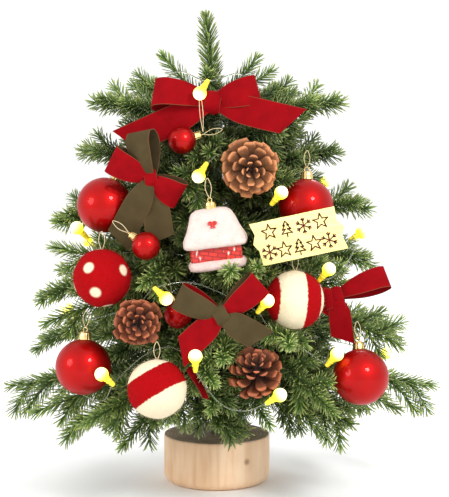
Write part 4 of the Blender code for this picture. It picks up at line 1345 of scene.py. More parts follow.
def hang_thread(name, top, eye, body, thickness, finish, spread=0.0026):
    """A thread loop: up from the eye to where it hangs, over, and back down to a knot."""
    across = (top - eye).cross(BACK)
    across = across.normalized() * spread if across.length > 1e-6 else Vector((spread, 0, 0))
    mid = eye.lerp(top, 0.55)
    points = [
        eye + across * 0.1, mid + across, top + across * 0.7, top + (top - eye).normalized() * 0.003,
        top - across * 0.7, mid - across, eye - across * 0.1 + (eye - top).normalized() * 0.0006,
    ]
    path = smooth_route(points, 0.0012)
    cord = lead_curve(name, path, thickness, finish)
    settle(cord, body, "thread")


def add_cap(shape, place, seat, radius, height, finish=1):
    """A crimped cup with a scalloped skirt and a wire eye, standing on +Z of its place."""
    flutes = 12
    outline = (
        (0.0, 1.0), (0.62, 1.0), (0.8, 0.95), (0.9, 0.8), (0.93, 0.45), (1.0, 0.12), (1.03, 0.0),
        (0.95, 0.0001 / height), (0.84, 0.45), (0.0, 0.8),
    )
    depths = (0, 0, 0.02, 0.05, 0.07, 0.08, 0.09, 0.09, 0.05, 0)

    def crimp(angle, ring):
        return 1 - depths[ring] * (0.5 + 0.5 * cos(flutes * angle))

    profile = [(radius * across, seat + height * up) for across, up in outline]
    shape.lathe(profile, 72, place, finish, wave=crimp)
    eye_radius, wire = radius * 0.36, 0.00042
    middle = seat + height + eye_radius * 0.75
    ring = [
        place @ Vector((eye_radius * cos(t), 0, middle + eye_radius * sin(t)))
        for t in full_turn(20)
    ]
    shape.tube(ring, wire, 8, finish, closed=True)
    return place @ Vector((0, 0, middle + eye_radius * 0.9))


def round_profile(radius, start, steps=40):
    """(radius, height) from the pole at the top, a start angle down, to the bottom."""
    return [
        (radius * sin(a), radius * cos(a))
        for a in (radians(start + (180 - start) * i / steps) for i in range(steps + 1))
    ]


class TREE_OT_shiny_balls(bpy.types.Operator):
    """Blows the shiny balls, crimps their caps and hangs them on their threads"""

    bl_idname = "tabletop_tree.shiny_balls"
    bl_label = "Shiny balls"

    def execute(self, context):
        settings = context.scene.tree_ornaments
        red, gold, thread = lacquer_finish(settings), gold_finish(settings), thread_finish()
        for number in range(1, 5):
            self.big_ball(number, settings, red, gold, thread)
        for number in range(1, 4):
            self.small_ball(number, settings, red, gold, thread)
        # a spare loop of thread that hangs from the top bow's knot
        knot, low_end = Vector((-0.0135, -0.101, 0.364)), Vector((-0.0115, -0.0985, 0.337))
        hang_thread("knot_thread", knot, low_end, TREE, settings.thread, thread, 0.0014)
        return {"FINISHED"}

    def big_ball(self, number, settings, red, gold, thread):
        """An open-necked shell and the cap that closes it, each its own piece."""
        body = f"hung_ball_{number}"
        hook = Vector(joint_of(body)["pos_m"])
        direction = (hook - node_sphere(f"ball_{number}")[0]).normalized()
        radius = BIG_BALL_RADIUS
        place = stand(hook - direction * BIG_BALL_REACH, direction)
        wall, neck = 0.0009, degrees(asin(0.004 / radius))
        outside = round_profile(radius, neck)
        inside = [(r * (1 - wall / radius), h * (1 - wall / radius)) for r, h in outside][::-1]
        shape = Shape()
        shape.lathe(outside + inside, 72, place, closed=True)
        put(shape, f"shiny_ball_{number}", [red], body, "gloss_red", f"ball_{number}", sharp=0)
        cap = Shape()
        eye = add_cap(cap, place, radius - 0.0003, 0.0058, 0.0068, 0)
        put(cap, f"shiny_ball_cap_{number}", [gold], body, "cap_gold", f"ball_cap_{number}", sharp=60)
        hang_thread(f"ball_thread_{number}", hook, eye, body, settings.thread, thread)

    def small_ball(self, number, settings, red, gold, thread):
        body = f"hung_small_ball_{number}"
        hook = Vector(joint_of(body)["pos_m"])
        radius = SMALL_BALL_RADIUS
        direction = Vector(SMALL_BALL_WAYS[number - 1]).normalized()
        place = stand(hook - direction * SMALL_BALL_REACH, direction)
        shape = Shape()
        shape.lathe(round_profile(radius, 0, 28), 48, place, 0)
        eye = add_cap(shape, place, radius - 0.0002, 0.004, 0.0056, 1)
        name, node = f"small_shiny_ball_{number}", f"small_ball_{number}"
        put(shape, name, [red, gold], body, "gloss_red", node, sharp=60)
        hang_thread(f"small_ball_thread_{number}", hook, eye, body, settings.thread, thread, 0.0024)


def fibre_recipe():
    """Loose curled fibres that lie on a felted surface."""
    made = Recipe("felt_fibres", count="Int", fibre="Object", finish="Material", seed="Int")
    given = made.start.outputs
    area = made.node(
        "GeometryNodeAttributeStatistic",
        {"Geometry": given["Geometry"], "Attribute": made.geometry("InputMeshFaceArea").outputs["Area"]},
        domain="FACE",
    ).outputs["Sum"]
    density = made.math("DIVIDE", given["Count"], area)
    fields = {"Mesh": given["Geometry"], "Density": density, "Seed": given["Seed"]}
    spots = made.geometry("DistributePointsOnFaces", fields, distribute_method="RANDOM")
    spin = made.random(0.0, 6.283, 3)
    lean = made.random(0.55, 1.25, 5)
    turned = made.turn(made.turn(spots.outputs["Rotation"], made.vector(z=spin)), made.vector(x=lean))
    size = made.random(0.0012, 0.003, 9)
    fibres = made.copies(
        spots.outputs["Points"], given["Fibre"], Rotation=turned, Scale=made.vector(0.0026, size, size)
    )
    return made.finish(made.painted(made.joined(given["Geometry"], made.realized(fibres)), given["Finish"]))


def fibre_shape():
    """One fibre, a metre long before it is scaled: a bowed three-sided thread."""
    shape = Shape()
    shape.tube([Vector((0, 0.3 * (1 - (2 * t - 1) ** 2), t)) for t in (0, 0.35, 0.7, 1)], 0.013, 3)
    return shape.object("fibre_shape", [])


class TREE_OT_felt_balls(bpy.types.Operator):
    """Needles the three wool balls, with their dots and bands, and hangs them"""

    bl_idname = "tabletop_tree.felt_balls"
    bl_label = "Felt balls"

    def execute(self, context):
        settings = context.scene.tree_ornaments
        recipe, fibre, thread = fibre_recipe(), fibre_shape(), thread_finish()
        balls = (
            ("dotted", None), ("striped_1", ((1.0, 0.16, -0.06), ((-0.0165, 0.006), (0.02, 0.0235)))),
            ("striped_2", ((-0.5, 0.25, 0.83), ((-0.03, -0.0065), (0.015, 0.03)))),
        )
        for number, (kind, banding) in enumerate(balls, 1):
            node, body = f"felt_ball_{kind}", f"hung_felt_{kind}"
            centre, radius = node_sphere(node)
            if banding:
                finish = banded_felt_finish(settings, f"felt_banded_{number - 1}", tuple(centre), *banding)
            else:
                finish = dotted_felt_finish(settings, tuple(centre), radius)
            shape = Shape()
            shape.lathe(round_profile(radius, 0, 48), 72, Matrix.Translation(centre))
            made = shape.object(node.replace("felt_ball", "felted_ball"), [])
            for vertex in made.data.vertices:
                lump = noise.noise(vertex.co * 95) * 0.0006 + noise.noise(vertex.co * 420) * 0.00025
                vertex.co += (vertex.co - centre).normalized() * (lump - 0.0006)
            run_recipe(made, recipe, count=settings.felt_fibres, fibre=fibre, seed=number, finish=finish)
            made.data.shade_smooth()
            settle(made, body, "felt", node)
            hook = Vector(joint_of(body)["pos_m"])
            eye = centre + (hook - centre).normalized() * (radius - 0.0012)
            hang_thread(f"felt_thread_{number}", hook, eye, body, settings.thread, thread, 0.0026)
        bpy.data.objects.remove(fibre, do_unlink=True)
        return {"FINISHED"}


# House


class TREE_OT_house(bpy.types.Operator):
    """Moulds the snowy cottage with its cap, wreath and thread"""

    bl_idname = "tabletop_tree.house"
    bl_label = "House"

    def execute(self, context):
        settings = context.scene.tree_ornaments
        hook = Vector(joint_of("hung_house")["pos_m"])
        lean = Matrix.Rotation(HOUSE_LEAN, 4, "Y")
        place = Matrix.Translation(hook) @ lean @ Matrix.Translation((0, 0, -HOUSE_DROP))
        shape = Shape()
        self.walls(shape, place)
        self.wreath(shape, place)
        eye = add_cap(shape, place, 0.052, 0.005, 0.0068, 4)
        finishes = [
            snow_finish("house_snow", (0.82, 0.64, 0.57)), brick_finish(HOUSE_LEAN),
            snow_finish("house_foot_snow", (0.82, 0.58, 0.53)), red_paint(), gold_finish(settings),
        ]
        put(shape, "cottage", finishes, "hung_house", "house_paint", "house_ornament", sharp=60)
        hang_thread("house_thread", hook, eye, "hung_house", settings.thread, thread_finish())
        return {"FINISHED"}

    def ring(self, width, depth, height, lump, squareness):
        """A rounded rectangle whose edge wanders by the lump."""
        points = []
        for angle in full_turn(72):
            c, s = cos(angle), sin(angle)
            grow = (abs(c) ** squareness + abs(s) ** squareness) ** (-1 / squareness)
            wander = 1 + lump * noise.noise(Vector((c * 2.2, s * 2.2, height * 90)))
            drop = lump * 0.012 * noise.noise(Vector((c * 3.1, s * 3.1, 7.0)))
            points.append(Vector((width * c * grow * wander, depth * s * grow * wander, height + drop)))
        return points

    def skin(self, shape, place, rows, finish, lump, squareness=4.5):
        shape.rings([[place @ p for p in self.ring(*row, lump, squareness)] for row in rows], finish)

    def walls(self, shape, place):
        foot = (
            (0.022, 0.014, 0.0004), (0.024, 0.016, 0.0012), (0.025, 0.0169, 0.0036),
            (0.0247, 0.0166, 0.0062), (0.0234, 0.0152, 0.0082), (0.0212, 0.013, 0.0092),
        )
        brick = (
            (0.0216, 0.0134, 0.006), (0.0224, 0.0139, 0.0085), (0.0224, 0.0139, 0.02),
            (0.0216, 0.0134, 0.023),
        )
        roof = (
            (0.0215, 0.0135, 0.0206), (0.0258, 0.0184, 0.02), (0.0273, 0.0198, 0.0214),
            (0.0275, 0.02, 0.0236), (0.0268, 0.0192, 0.0266), (0.0248, 0.0172, 0.0315),
            (0.0226, 0.0152, 0.037), (0.0206, 0.0132, 0.0425), (0.019, 0.0116, 0.047),
            (0.0174, 0.01, 0.05), (0.0138, 0.0074, 0.0522), (0.008, 0.004, 0.0529),
        )
        self.skin(shape, place, foot, 2, 0.05)
        self.skin(shape, place, brick, 1, 0.0, 7.0)
        self.skin(shape, place, roof, 0, 0.06)

    def wreath(self, shape, place):
        """A small painted bow on the roof's front: a knot between two loops, with two short ends."""
        middle = Vector((0, -0.015, 0.0405))
        for side in (-1, 1):
            way = Vector((side * 0.0019, 0.0002, 0.0006))
            loop = [
                middle + way + Vector((0.0015 * cos(t), 0.0003 * sin(t), 0.0011 * sin(t)))
                for t in full_turn(16)
            ]
            shape.tube([place @ p for p in loop], 0.0007, 8, 3, closed=True)
            end = middle + Vector((side * 0.0016, -0.0014, -0.0036))
            path = [place @ middle.lerp(end, share) for share in (0, 0.5, 1)]
            shape.tube(path, (0.0006, 0.0008, 0.0007), 8, 3)
        knot = [(0, -0.0012), (0.0009, -0.0008), (0.0012, 0), (0.0009, 0.0008), (0, 0.0012)]
        shape.lathe(knot, 12, place @ Matrix.Translation(middle), 3)


# Sign


def star_strokes(x, z, size):
    points = []
    for k in range(11):
        angle = pi / 2 + k * pi / 5
        reach = size if k % 2 == 0 else size * 0.42
        points.append((x + reach * cos(angle), z + reach * sin(angle)))
    return [points]


def fir_strokes(x, z, size):
    zigzag = [(x, z + size)]
    for k in range(3):
        low = z + size - (k + 1) * size * 0.52
        zigzag += [(x - size * (0.36 + 0.17 * k), low), (x - size * 0.14, low + size * 0.04)]
    mirrored = [(2 * x - px, pz) for px, pz in zigzag]
    stub = [(x, z - size * 0.56), (x, z - size)]
    return [zigzag, mirrored, [zigzag[-1], mirrored[-1]], stub]


def flake_strokes(x, z, size):
    lines = []
    for k in range(3):
        angle = pi / 6 + k * pi / 3
        dx, dz = cos(angle) * size, sin(angle) * size
        lines.append([(x - dx, z - dz), (x + dx, z + dz)])
        for way in (1, -1):
            cx, cz = x + dx * 0.62 * way, z + dz * 0.62 * way
            for turn in (0.7, -0.7):
                ex = cos(angle + turn) * size * 0.34 * way
                ez = sin(angle + turn) * size * 0.34 * way
                lines.append([(cx, cz), (cx + ex, cz + ez)])
    return lines


class TREE_OT_sign(bpy.types.Operator):
    """Saws the broken-ended board and paints its two rows of motifs"""

    bl_idname = "tabletop_tree.sign"
    bl_label = "Sign"

    def execute(self, context):
        low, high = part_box("sign_board")
        centre = (low + high) / 2
        place = Matrix.Translation(centre) @ Matrix.Rotation(SIGN_TURN, 4, "Y")
        shape = Shape()
        self.board(shape, place)
        self.motifs(shape, place)
        finishes = [board_finish(), brown_paint()]
        put(shape, "painted_sign", finishes, TREE, "sign_board", "sign_board", sharp=35)
        return {"FINISHED"}

    def board(self, shape, place):
        """The outline with softened arrises, front and back."""
        length, height, notch, half = 0.0395, 0.0188, 0.0048, 0.0015
        outline = [
            (-length, height), (length - notch, height), (length - notch, height * 0.35), (length, 0),
            (length - notch * 0.6, -height * 0.4), (length, -height), (-length + notch, -height),
            (-length + notch * 0.8, -height * 0.3), (-length, 0.05 * height),
            (-length + notch * 0.6, height * 0.45),
        ]
        fine = []
        for (ax, az), (bx, bz) in zip(outline, outline[1:] + outline[:1]):
            span = hypot(bx - ax, bz - az)
            count = max(1, round(span / 0.004))
            for i in range(count):
                t = i / count
                x, z = ax + (bx - ax) * t, az + (bz - az) * t
                rough = 0.00022 * noise.noise(Vector((x * 900, z * 900, 0.3)))
                fine.append((x + rough, z + rough))
        soft = 0.0004
        rings = []
        front = ((-half, soft), (-half + soft * 0.4, soft * 0.35), (-half + soft, 0))
        back = ((half - soft, 0), (half, soft))
        for y, inset in front + back:
            wide, high = 1 - inset / length, 1 - inset / height
            rings.append([place @ Vector((x * wide, y, z * high)) for x, z in fine])
        shape.rings(rings, 0)

    def motifs(self, shape, place):
        draw = random.Random(5)
        star, fir, flake = star_strokes, fir_strokes, flake_strokes
        rows = (
            (0.0088, (-0.024, -0.009, 0.006, 0.021), (star, fir, flake, star)),
            (-0.0084, (-0.027, -0.014, -0.001, 0.012, 0.025), (flake, star, fir, star, flake)),
        )
        for height, places, motifs in rows:
            for x, strokes in zip(places, motifs):
                z = height + draw.uniform(-0.0006, 0.0006)
                for line in strokes(x, z, 0.0068):
                    path = [Vector((x + draw.uniform(-1, 1) * 0.00012, -0.00152, z)) for x, z in line]
                    fine = []
                    for a, b in zip(path, path[1:]):
                        fine += [a.lerp(b, t / 3) for t in range(3)]
                    fine.append(path[-1])
                    width = [0.00062 * draw.uniform(0.85, 1.15) for _ in fine]
                    self.stroke(shape, place, fine, width)

    def stroke(self, shape, place, path, widths):
        """A flat brush stroke that stands a hair proud of the board."""
        for a, b, wa, wb in zip(path, path[1:], widths, widths[1:]):
            way = (b - a).normalized()
            side = Vector((-way.z, 0, way.x))
            low, proud = Vector((0, 0.0002, 0)), Vector((0, -0.00016, 0))
            ends = [(a - way * wa * 0.7, wa), (b + way * wb * 0.7, wb)]
            rings = []
            for point, width in ends:
                edge = side * width
                rings.append([
                    place @ (point + edge + low), place @ (point + edge * 0.8 + proud),
                    place @ (point - edge * 0.8 + proud), place @ (point - edge + low),
                ])
            shape.rings(rings, 1)


# Pine cones


def cone_recipe():
    """Scales set in a spiral up a core, wide open low down and closing at the point."""
    made = Recipe(
        "cone_scales", count="Int", radius="Float", length="Float", scale="Object", finish="Material",
        seed="Int",
    )
    given = made.start.outputs
    line = made.geometry("MeshLine", {"Count": given["Count"], "Offset": (0, 0, 0.001)}).outputs["Mesh"]
    last = made.math("SUBTRACT", given["Count"], 1.0)
    line = made.store(line, "level", made.math("DIVIDE", made.index(), last))
    level = made.named("level")
    angle = made.times(made.index(), GOLDEN_TURN)
    swell = made.math("SINE", made.scaled(level, 2.05, 0.95))
    core = made.times(given["Radius"], made.scaled(swell, 0.16, 0.02))
    height = made.times(given["Length"], made.scaled(level, 0.8, -0.44))
    across, ahead = made.math("COSINE", angle), made.math("SINE", angle)
    spot = made.vector(made.times(core, across), made.times(core, ahead), height)
    line = made.geometry("SetPosition", {"Geometry": line, "Position": spot}).outputs["Geometry"]
    opening = made.scaled(made.math("POWER", level, 2.2), -0.9, 1.6)
    opening = made.add(opening, made.random(-0.17, 0.17))
    fields = {"Euler": made.vector(0.0, opening, angle)}
    turned = made.node("FunctionNodeEulerToRotation", fields).outputs["Rotation"]
    reach = made.times(given["Radius"], made.scaled(swell, 0.62, 0.2))
    reach = made.times(reach, made.random(0.86, 1.07, 4))
    wide = made.times(given["Radius"], made.scaled(swell, 0.34, 0.1))
    scales = made.copies(line, given["Scale"], Rotation=turned, Scale=made.vector(reach, wide, reach))
    scales = made.realized(made.store(scales, "tone", made.random(0.0, 1.0, 8), "INSTANCE"))
    return made.finish(made.painted(made.joined(given["Geometry"], scales), given["Finish"]))


def scale_shape():
    """One cone scale along +Z, unit sized: thin and narrow at the root, with a thick curled lip."""
    shape = Shape()
    rows, rings = 8, []
    for k in range(rows):
        t = k / (rows - 1)
        width = 0.18 + 0.82 * sin(min(1.0, t * 1.12) * pi / 2) ** 1.4
        if k == rows - 1:
            width *= 0.74
        thick = 0.035 + 0.06 * t ** 2
        curl = -0.16 * t ** 2 + 0.07 * sin(t * pi)
        ring = []
        for i in range(8):
            angle = 2 * pi * i / 8
            across = 0.5 * width * cos(angle)
            cup = -0.1 * (2 * across) ** 2
            ring.append(Vector((curl + cup + thick * sin(angle), across, t)))
        rings.append(ring)
    shape.rings(rings, along=[k / (rows - 1) for k in range(rows)])
    return shape.object("scale_shape", [])


CONE_RADIUS = 0.0265
CONE_LENGTH = 0.034


class TREE_OT_cones(bpy.types.Operator):
    """Grows the three pine cones scale by scale"""

    bl_idname = "tabletop_tree.cones"
    bl_label = "Pine cones"

    def execute(self, context):
        settings = context.scene.tree_ornaments
        recipe, scale = cone_recipe(), scale_shape()
        cones = (
            (1, (0.05, -1.0, -0.1), 1.0, (0.44, 0.175, 0.07)),
            (2, (0.1, -1.0, 0.1), 0.82, (0.3, 0.085, 0.035)),
            (3, (0.0, -0.7, 0.7), 0.9, (0.3, 0.085, 0.035)),
        )
        for number, facing, share, colour in cones:
            low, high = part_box(f"pine_cone_{number}")
            shape = Shape()
            core = (
                (0.0, -0.0165), (0.0022, -0.016), (0.006, -0.012), (0.0066, -0.004), (0.0046, 0.006),
                (0.0, 0.012),
            )
            shape.lathe([(r * share, h * share) for r, h in core], 12)
            made = shape.object(f"scaled_cone_{number}", [])
            run_recipe(
                made, recipe, count=settings.cone_scales, radius=CONE_RADIUS * share,
                length=CONE_LENGTH * share, scale=scale,
                finish=cone_finish(f"cone_wood_{number}", colour), seed=number,
            )
            made.data.transform(stand((low + high) / 2, facing))
            made.data.shade_smooth()
            settle(made, TREE, "cone_scales", f"pine_cone_{number}")
        bpy.data.objects.remove(scale, do_unlink=True)
        return {"FINISHED"}


# Bows


class Ribbon:
    """Ribbon strips of one bow, each a centreline with an across vector at every station."""

    def __init__(self, width, thickness):
        self.shape = Shape()
        self.width = width
        self.thickness = thickness
        self.length = 0.0

    def strip(self, stations, front, back, cut=0.0):
        """stations are (centre, half-width vector, crown); the crown bows the cloth off its line."""
        across_steps = 8
        fine = self.smooth(stations)
        self.length += path_length([c for c, _, _ in fine])
        half = self.thickness / 2
        grids = ([], [])
        run = 0.0
        previous = fine[0][0]
        uvs = []
        for k, (centre, across, crown) in enumerate(fine):
            ahead = fine[min(k + 1, len(fine) - 1)][0] - fine[max(k - 1, 0)][0]
            normal = ahead.cross(across).normalized()
            run += (centre - previous).length
            previous = centre
            slant = cut * max(0.0, (k / (len(fine) - 1) - 0.75) / 0.25)
            for i in range(across_steps + 1):
                s = 2 * i / across_steps - 1
                point = centre + across * s + normal * crown * (1 - s * s) + ahead.normalized() * slant * s
                grids[0].append(point + normal * half)
                grids[1].append(point - normal * half)
                uvs.append((0.5 + 0.5 * s, run * 30))
        wide = across_steps + 1
        rows = len(fine)
        for grid, finish, flip in ((grids[0], front, False), (grids[1], back, True)):
            faces = []
            for r in range(rows - 1):
                for i in range(across_steps):
                    a, b = r * wide + i, r * wide + i + 1
                    face = (a, b, b + wide, a + wide)
                    faces.append(face[::-1] if flip else face)
            self.shape.add(grid, faces, finish, uvs=uvs)
        count = rows * wide
        start = len(self.shape.points) - 2 * count
        rim = list(range(wide)) + [r * wide + wide - 1 for r in range(1, rows)]
        rim += [(rows - 1) * wide + i for i in range(wide - 2, -1, -1)]
        rim += [r * wide for r in range(rows - 2, 0, -1)]
        for a, b in zip(rim, rim[1:] + rim[:1]):
            self.shape.faces.append((start + a, start + count + a, start + count + b, start + b))
            self.shape.finishes.append(front)

    def smooth(self, stations):
        """Seven finer stations for each of the given ones."""
        steps = 7
        fine = []
        padded = [stations[0], *stations, stations[-1]]
        for around in zip(padded, padded[1:], padded[2:], padded[3:]):
            for i in range(steps):
                fine.append(tuple(curve_value(*values, i / steps) for values in zip(*around)))
        fine.append(stations[-1])
        return fine


def in_plane(turn):
    """Along and across unit vectors for a turn about the view line."""
    angle = radians(turn)
    return Vector((cos(angle), 0, sin(angle))), Vector((-sin(angle), 0, cos(angle)))


def add_loop(ribbon, centre, length, turn, front, back, depth, roll):
    """A loop from the knot to its bend and back behind, pinched at the knot and rolled on its length."""
    out, flat_across = in_plane(turn)
    lean = radians(roll)
    front_way = flat_across * sin(lean) - BACK * cos(lean)
    across = flat_across * cos(lean) + BACK * sin(lean)
    plan = (
        (0.0, 0.1, 0.3, 0.0004), (0.2, 0.55, 0.62, 0.0022), (0.5, 0.95, 0.9, 0.0016),
        (0.8, 0.95, 1.0, 0.0004), (0.97, 0.5, 1.02, 0.0), (1.0, 0.0, 1.02, 0.0), (0.96, -0.5, 1.0, 0.0),
        (0.78, -0.86, 0.98, 0.0), (0.5, -0.8, 0.86, 0.0), (0.22, -0.48, 0.6, 0.0), (0.0, -0.16, 0.34, 0.0),
    )
    stations = []
    for along, off, share, crown in plan:
        point = centre + out * length * along + front_way * off * depth / 2
        stations.append((point, across * ribbon.width / 2 * share, crown))
    ribbon.strip(stations, front, back)


def add_tail(ribbon, centre, length, turn, front, back, wave, cut, lift=0.0):
    """A tail from under the knot, spreading to its full width, with a slanted cut end."""
    out, across = in_plane(turn)
    plan = ((0.0, 0.34), (0.14, 0.62), (0.32, 0.92), (0.55, 1.0), (0.78, 1.0), (1.0, 1.0))
    stations = []
    for along, share in plan:
        bend = wave * sin(along * pi * 1.5) + lift * sin(along * pi)
        point = centre + out * length * along - BACK * (bend + TAIL_PUSH * (1 - along))
        stations.append((point, across * ribbon.width / 2 * share, 0.001 * (1 - along)))
    ribbon.strip(stations, front, back, cut)


def add_knot(ribbon, centre, turn, depth, front, back):
    """The wrap over the middle: a band round the gathers with two soft folds."""
    out, across = in_plane(turn)
    width = depth * 1.5
    stations = []
    for k in range(13):
        angle = 2 * pi * k / 12
        round_way = across * cos(angle) * width * 0.46 - BACK * sin(angle) * depth * 0.62
        point = centre + round_way
        swell = 0.72 + 0.2 * abs(sin(angle)) + 0.05 * sin(3 * angle)
        stations.append((point, out * width * 0.4 * swell, 0.001))
    ribbon.strip(stations, front, back)


RED, OLIVE = 0, 1
TAIL_PUSH = 0.002

# Each bow: its node, ribbon width, knot's place, knot's size and turn; its loops, each by length, turn, face,
# back, depth and roll; and its tails, each by length, turn, face, back, wave, cut and sometimes lift
BOWS = (
    ("bow_top", 0.0265, (-0.003, -0.086, 0.362), 0.0135, -8,
     ((0.053, 172, RED, RED, 0.022, -26), (0.042, 15, RED, RED, 0.018, 12)),
     ((0.084, 204, RED, RED, 0.003, -0.008), (0.073, -13, RED, RED, -0.006, 0.01, 0.012))),
    ("bow_left", 0.0245, (-0.0565, -0.115, 0.296), 0.0105, 10,
     ((0.042, 102, OLIVE, OLIVE, 0.018, 32), (0.039, 153, RED, OLIVE, 0.014, 10),
      (0.03, -30, RED, OLIVE, 0.014, -14)),
     ((0.062, 242, OLIVE, RED, 0.003, 0.004), (0.054, 279, OLIVE, RED, -0.002, -0.003))),
    ("bow_centre", 0.023, (0.005, -0.166, 0.183), 0.0115, 30,
     ((0.043, 41, RED, OLIVE, 0.014, -12), (0.041, 155, OLIVE, RED, 0.014, 12)),
     ((0.04, -32, OLIVE, RED, 0.003, 0.006), (0.046, 222, RED, OLIVE, -0.002, 0.007))),
    ("bow_right", 0.02, (0.1065, -0.113, 0.193), 0.01, 20,
     ((0.047, 20, RED, RED, 0.016, 28), (0.014, 193, RED, RED, 0.012, 0)),
     ((0.04, 278, RED, RED, 0.002, 0.005), (0.02, 258, RED, RED, 0.001, 0.003))),
)


class TREE_OT_bows(bpy.types.Operator):
    """Ties the four velvet bows and the loose ribbon end"""

    bl_idname = "tabletop_tree.bows"
    bl_label = "Bows"

    def execute(self, context):
        settings = context.scene.tree_ribbons
        colours = {"red": settings.red, "olive": settings.olive}
        finishes = [velvet_finish(f"velvet_{name}", tuple(colour)) for name, colour in colours.items()]
        thick = settings.thickness
        for node, width, knot, knot_size, knot_turn, loops, tails in BOWS:
            centre = Vector(knot)
            ribbon = Ribbon(width, thick)
            for loop in loops:
                add_loop(ribbon, centre, *loop)
            for number, tail in enumerate(tails):
                add_tail(ribbon, centre - BACK * (0.0012 + 0.0018 * number), *tail)
            add_knot(ribbon, centre, knot_turn, knot_size, *loops[-1][2:4])
            made = ribbon.shape.object(node.replace("bow", "velvet_bow"), finishes, merge=1e-7)
            sharpen(made, 50)
            settle(made, TREE, "ribbon_red", node)
        self.loose_end(finishes, thick)
        return {"FINISHED"}

    def loose_end(self, finishes, thick):
        """A narrow red ribbon end that hangs below the centre bow."""
        ribbon = Ribbon(0.011, thick)
        across = Vector((0.0016, 0.0051, 0.0012))
        route = (
            (-0.024, -0.14, 0.133), (-0.0195, -0.147, 0.127), (-0.013, -0.15, 0.118),
            (-0.0085, -0.15, 0.108),
        )
        ribbon.strip([(Vector(p), across, 0.0004) for p in route], RED, RED, 0.003)
        made = ribbon.shape.object("loose_ribbon_end", finishes, merge=1e-7)
        sharpen(made, 50)
        settle(made, TREE, "ribbon_red")


# Battery box


def soft_box(shape, low, high, soft):
    """A box with rounded upright edges and softened rims."""
    low, high = Vector(low), Vector(high)
    rings = []
    for inset, z in ((soft, low.z), (0, low.z + soft), (0, high.z - soft), (soft, high.z)):
        ring = []
        for cx, cy, start in ((1, 1, 0), (0, 1, 90), (0, 0, 180), (1, 0, 270)):
            radius = soft * 1.6
            x = (high.x - radius) if cx else (low.x + radius)
            y = (high.y - radius) if cy else (low.y + radius)
            for k in range(5):
                angle = radians(start + k * 22.5)
                ring.append(Vector((x, y, z)) + polar(radius - inset, angle))
        rings.append(ring)
    shape.rings(rings)


class TREE_OT_battery_box(bpy.types.Operator):
    """Moulds the battery box behind the pole, with its cover, switch and two cells"""

    bl_idname = "tabletop_tree.battery_box"
    bl_label = "Battery box"

    def execute(self, context):
        plastic = plastic_finish("box_plastic", (0.84, 0.84, 0.81))
        self.case(plastic)
        self.cover(plastic)
        self.switch(plastic_finish("switch_plastic", (0.1, 0.1, 0.1)))
        for number in (1, 2):
            self.cell(number, [sleeve_finish(), steel_finish()])
        return {"FINISHED"}

    def case(self, plastic):
        """The moulded case: its own solid with softened edges, as the bay in it is right already."""
        node = frame["nodes"]["battery_case"]
        node.data.materials.clear()
        node.data.materials.append(plastic)
        low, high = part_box("battery_case")
        shape = Shape()
        for share in (0.2, 0.4, 0.6, 0.8):
            z = low.z + (high.z - low.z) * share
            for x in (low.x - 0.0004, high.x - 0.0006):
                foot, top = (x, low.y + 0.003, z - 0.0008), (x + 0.001, high.y - 0.003, z + 0.0008)
                soft_box(shape, foot, top, 0.0002)
        gland = Matrix.Translation(Vector(LEAD_EXIT) - UP * 0.0006)
        collar = ((0.0013, 0), (0.0024, 0), (0.0022, 0.001), (0.0016, 0.0042), (0.0013, 0.0044), (0.0013, 0))
        shape.lathe(collar, 16, gland)
        put(shape, "case_ribs_and_gland", [plastic], TREE, "box_plastic", sharp=0)

    def cover(self, plastic):
        low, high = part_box("battery_cover")
        shape = Shape()
        soft_box(shape, low, high, 0.0004)
        middle = (low.x + high.x) / 2
        for k in range(5):
            z, half = low.z + 0.006 + k * 0.0022, 0.0075 - 0.0012 * k
            foot, top = (middle - half, high.y - 0.0002, z), (middle + half, high.y + 0.0006, z + 0.001)
            soft_box(shape, foot, top, 0.0002)
        put(shape, "box_cover", [plastic], "battery_cover", "box_plastic", "battery_cover")

    def switch(self, plastic):
        low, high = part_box("switch_slider")
        shape = Shape()
        soft_box(shape, low, high - Vector((0, 0, 0.0006)), 0.0003)
        for k in range(4):
            x = low.x + 0.0009 + k * 0.0013
            foot, top = (x, low.y + 0.0004, high.z - 0.0008), (x + 0.0006, high.y - 0.0004, high.z)
            soft_box(shape, foot, top, 0.00012)
        put(shape, "switch_knob", [plastic], "switch_slider", "box_plastic", "switch_slider")

    def cell(self, number, finishes):
        low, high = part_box(f"battery_cell_{number}")
        radius, half = (high.x - low.x) / 2, (high.z - low.z) / 2
        place = Matrix.Translation((low + high) / 2)
        shape = Shape()
        sleeve = [
            (radius * 0.9, -half + 0.0002), (radius, -half + 0.0008), (radius, half - 0.0022),
            (radius * 0.9, half - 0.0014),
        ]
        shape.lathe(sleeve, 36, place, 0)
        button = [
            (0.0, -half), (radius * 0.8, -half), (radius * 0.8, -half + 0.0004),
            (radius * 0.8, half - 0.0016), (radius * 0.42, half - 0.0013), (radius * 0.38, half - 0.0002),
            (radius * 0.3, half), (0.0, half),
        ]
        shape.lathe(button, 36, place, 1)
        put(shape, f"cell_{number}", finishes, TREE, "cell_wrap", f"battery_cell_{number}")


# Stage

CAMERA_PLACE = (0.0076, -1.5, 0.37)
CAMERA_AIM = (0.0076, 0, 0.2235)


def aim(piece, place, target):
    piece.location = place
    piece.rotation_euler = (Vector(target) - Vector(place)).to_track_quat("-Z", "Y").to_euler()


def area_light(name, place, target, size, power, colour=(1, 1, 1)):
    light = bpy.data.lights.new(name, "AREA")
    light.shape, light.size, light.energy, light.color = "DISK", size, power, colour
    aim(link_object(name, light), place, target)


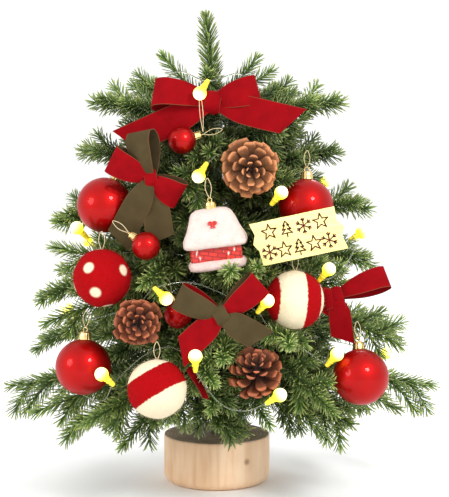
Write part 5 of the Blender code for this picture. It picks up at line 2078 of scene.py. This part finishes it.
class TREE_OT_stage(bpy.types.Operator):
    """Sets the floor, the soft lights, the pale surroundings and the camera"""

    bl_idname = "tabletop_tree.stage"
    bl_label = "Stage"

    def execute(self, context):
        scene = context.scene
        floor = Shape()
        floor.add([(-6, -6, 0), (6, -6, 0), (6, 6, 0), (-6, 6, 0)], [(0, 1, 2, 3)])
        floor.object("floor", [sweep_finish()])
        world = bpy.data.worlds.new("pale_room")
        world.use_nodes = True
        world.node_tree.nodes["Background"].inputs["Color"].default_value = (1.0, 1.0, 1.0, 1)
        world.node_tree.nodes["Background"].inputs["Strength"].default_value = 1.12
        scene.world = world
        scene.view_settings.view_transform = "Standard"
        middle = (0, 0, 0.22)
        area_light("key", (0.75, -1.25, 1.15), middle, 0.45, 16)
        area_light("fill", (-1.3, -0.9, 0.7), middle, 0.7, 8)
        area_light("back", (0.2, 1.3, 1.1), middle, 0.6, 7)
        camera = bpy.data.cameras.new("camera")
        camera.lens = 115
        scene.camera = link_object("camera", camera)
        aim(scene.camera, CAMERA_PLACE, CAMERA_AIM)
        return {"FINISHED"}


class TREE_PT_panel(bpy.types.Panel):
    """Lists the steps that build the tree"""

    bl_idname = "TREE_PT_panel"
    bl_label = "Tabletop Tree"
    bl_space_type = "VIEW_3D"
    bl_region_type = "UI"
    bl_category = "Tabletop Tree"

    def draw(self, context):
        for group in ("tree_foliage", "tree_ornaments", "tree_ribbons", "tree_lights"):
            settings = getattr(context.scene, group)
            for name in settings.bl_rna.properties.keys():
                if name not in ("rna_type", "name"):
                    self.layout.prop(settings, name)
        for step in OPERATORS:
            self.layout.operator(step.bl_idname)


OPERATORS = (
    TREE_OT_stage, TREE_OT_light_string, TREE_OT_log, TREE_OT_shiny_balls, TREE_OT_felt_balls, TREE_OT_house,
    TREE_OT_sign, TREE_OT_cones, TREE_OT_bows, TREE_OT_battery_box, TREE_OT_foliage,
)
SETTINGS = (
    ("tree_foliage", FoliageSettings), ("tree_ornaments", OrnamentSettings), ("tree_ribbons", RibbonSettings),
    ("tree_lights", LightSettings),
)


def register():
    for name, group in SETTINGS:
        bpy.utils.register_class(group)
        setattr(bpy.types.Scene, name, PointerProperty(type=group))
    for operator in OPERATORS:
        bpy.utils.register_class(operator)
    bpy.utils.register_class(TREE_PT_panel)


def unregister():
    bpy.utils.unregister_class(TREE_PT_panel)
    for operator in reversed(OPERATORS):
        bpy.utils.unregister_class(operator)
    for name, group in reversed(SETTINGS):
        delattr(bpy.types.Scene, name)
        bpy.utils.unregister_class(group)


def main():
    register()
    for operator in OPERATORS:
        group, step = operator.bl_idname.split(".")
        getattr(getattr(bpy.ops, group), step)()


if __name__ == "__main__":
    main()
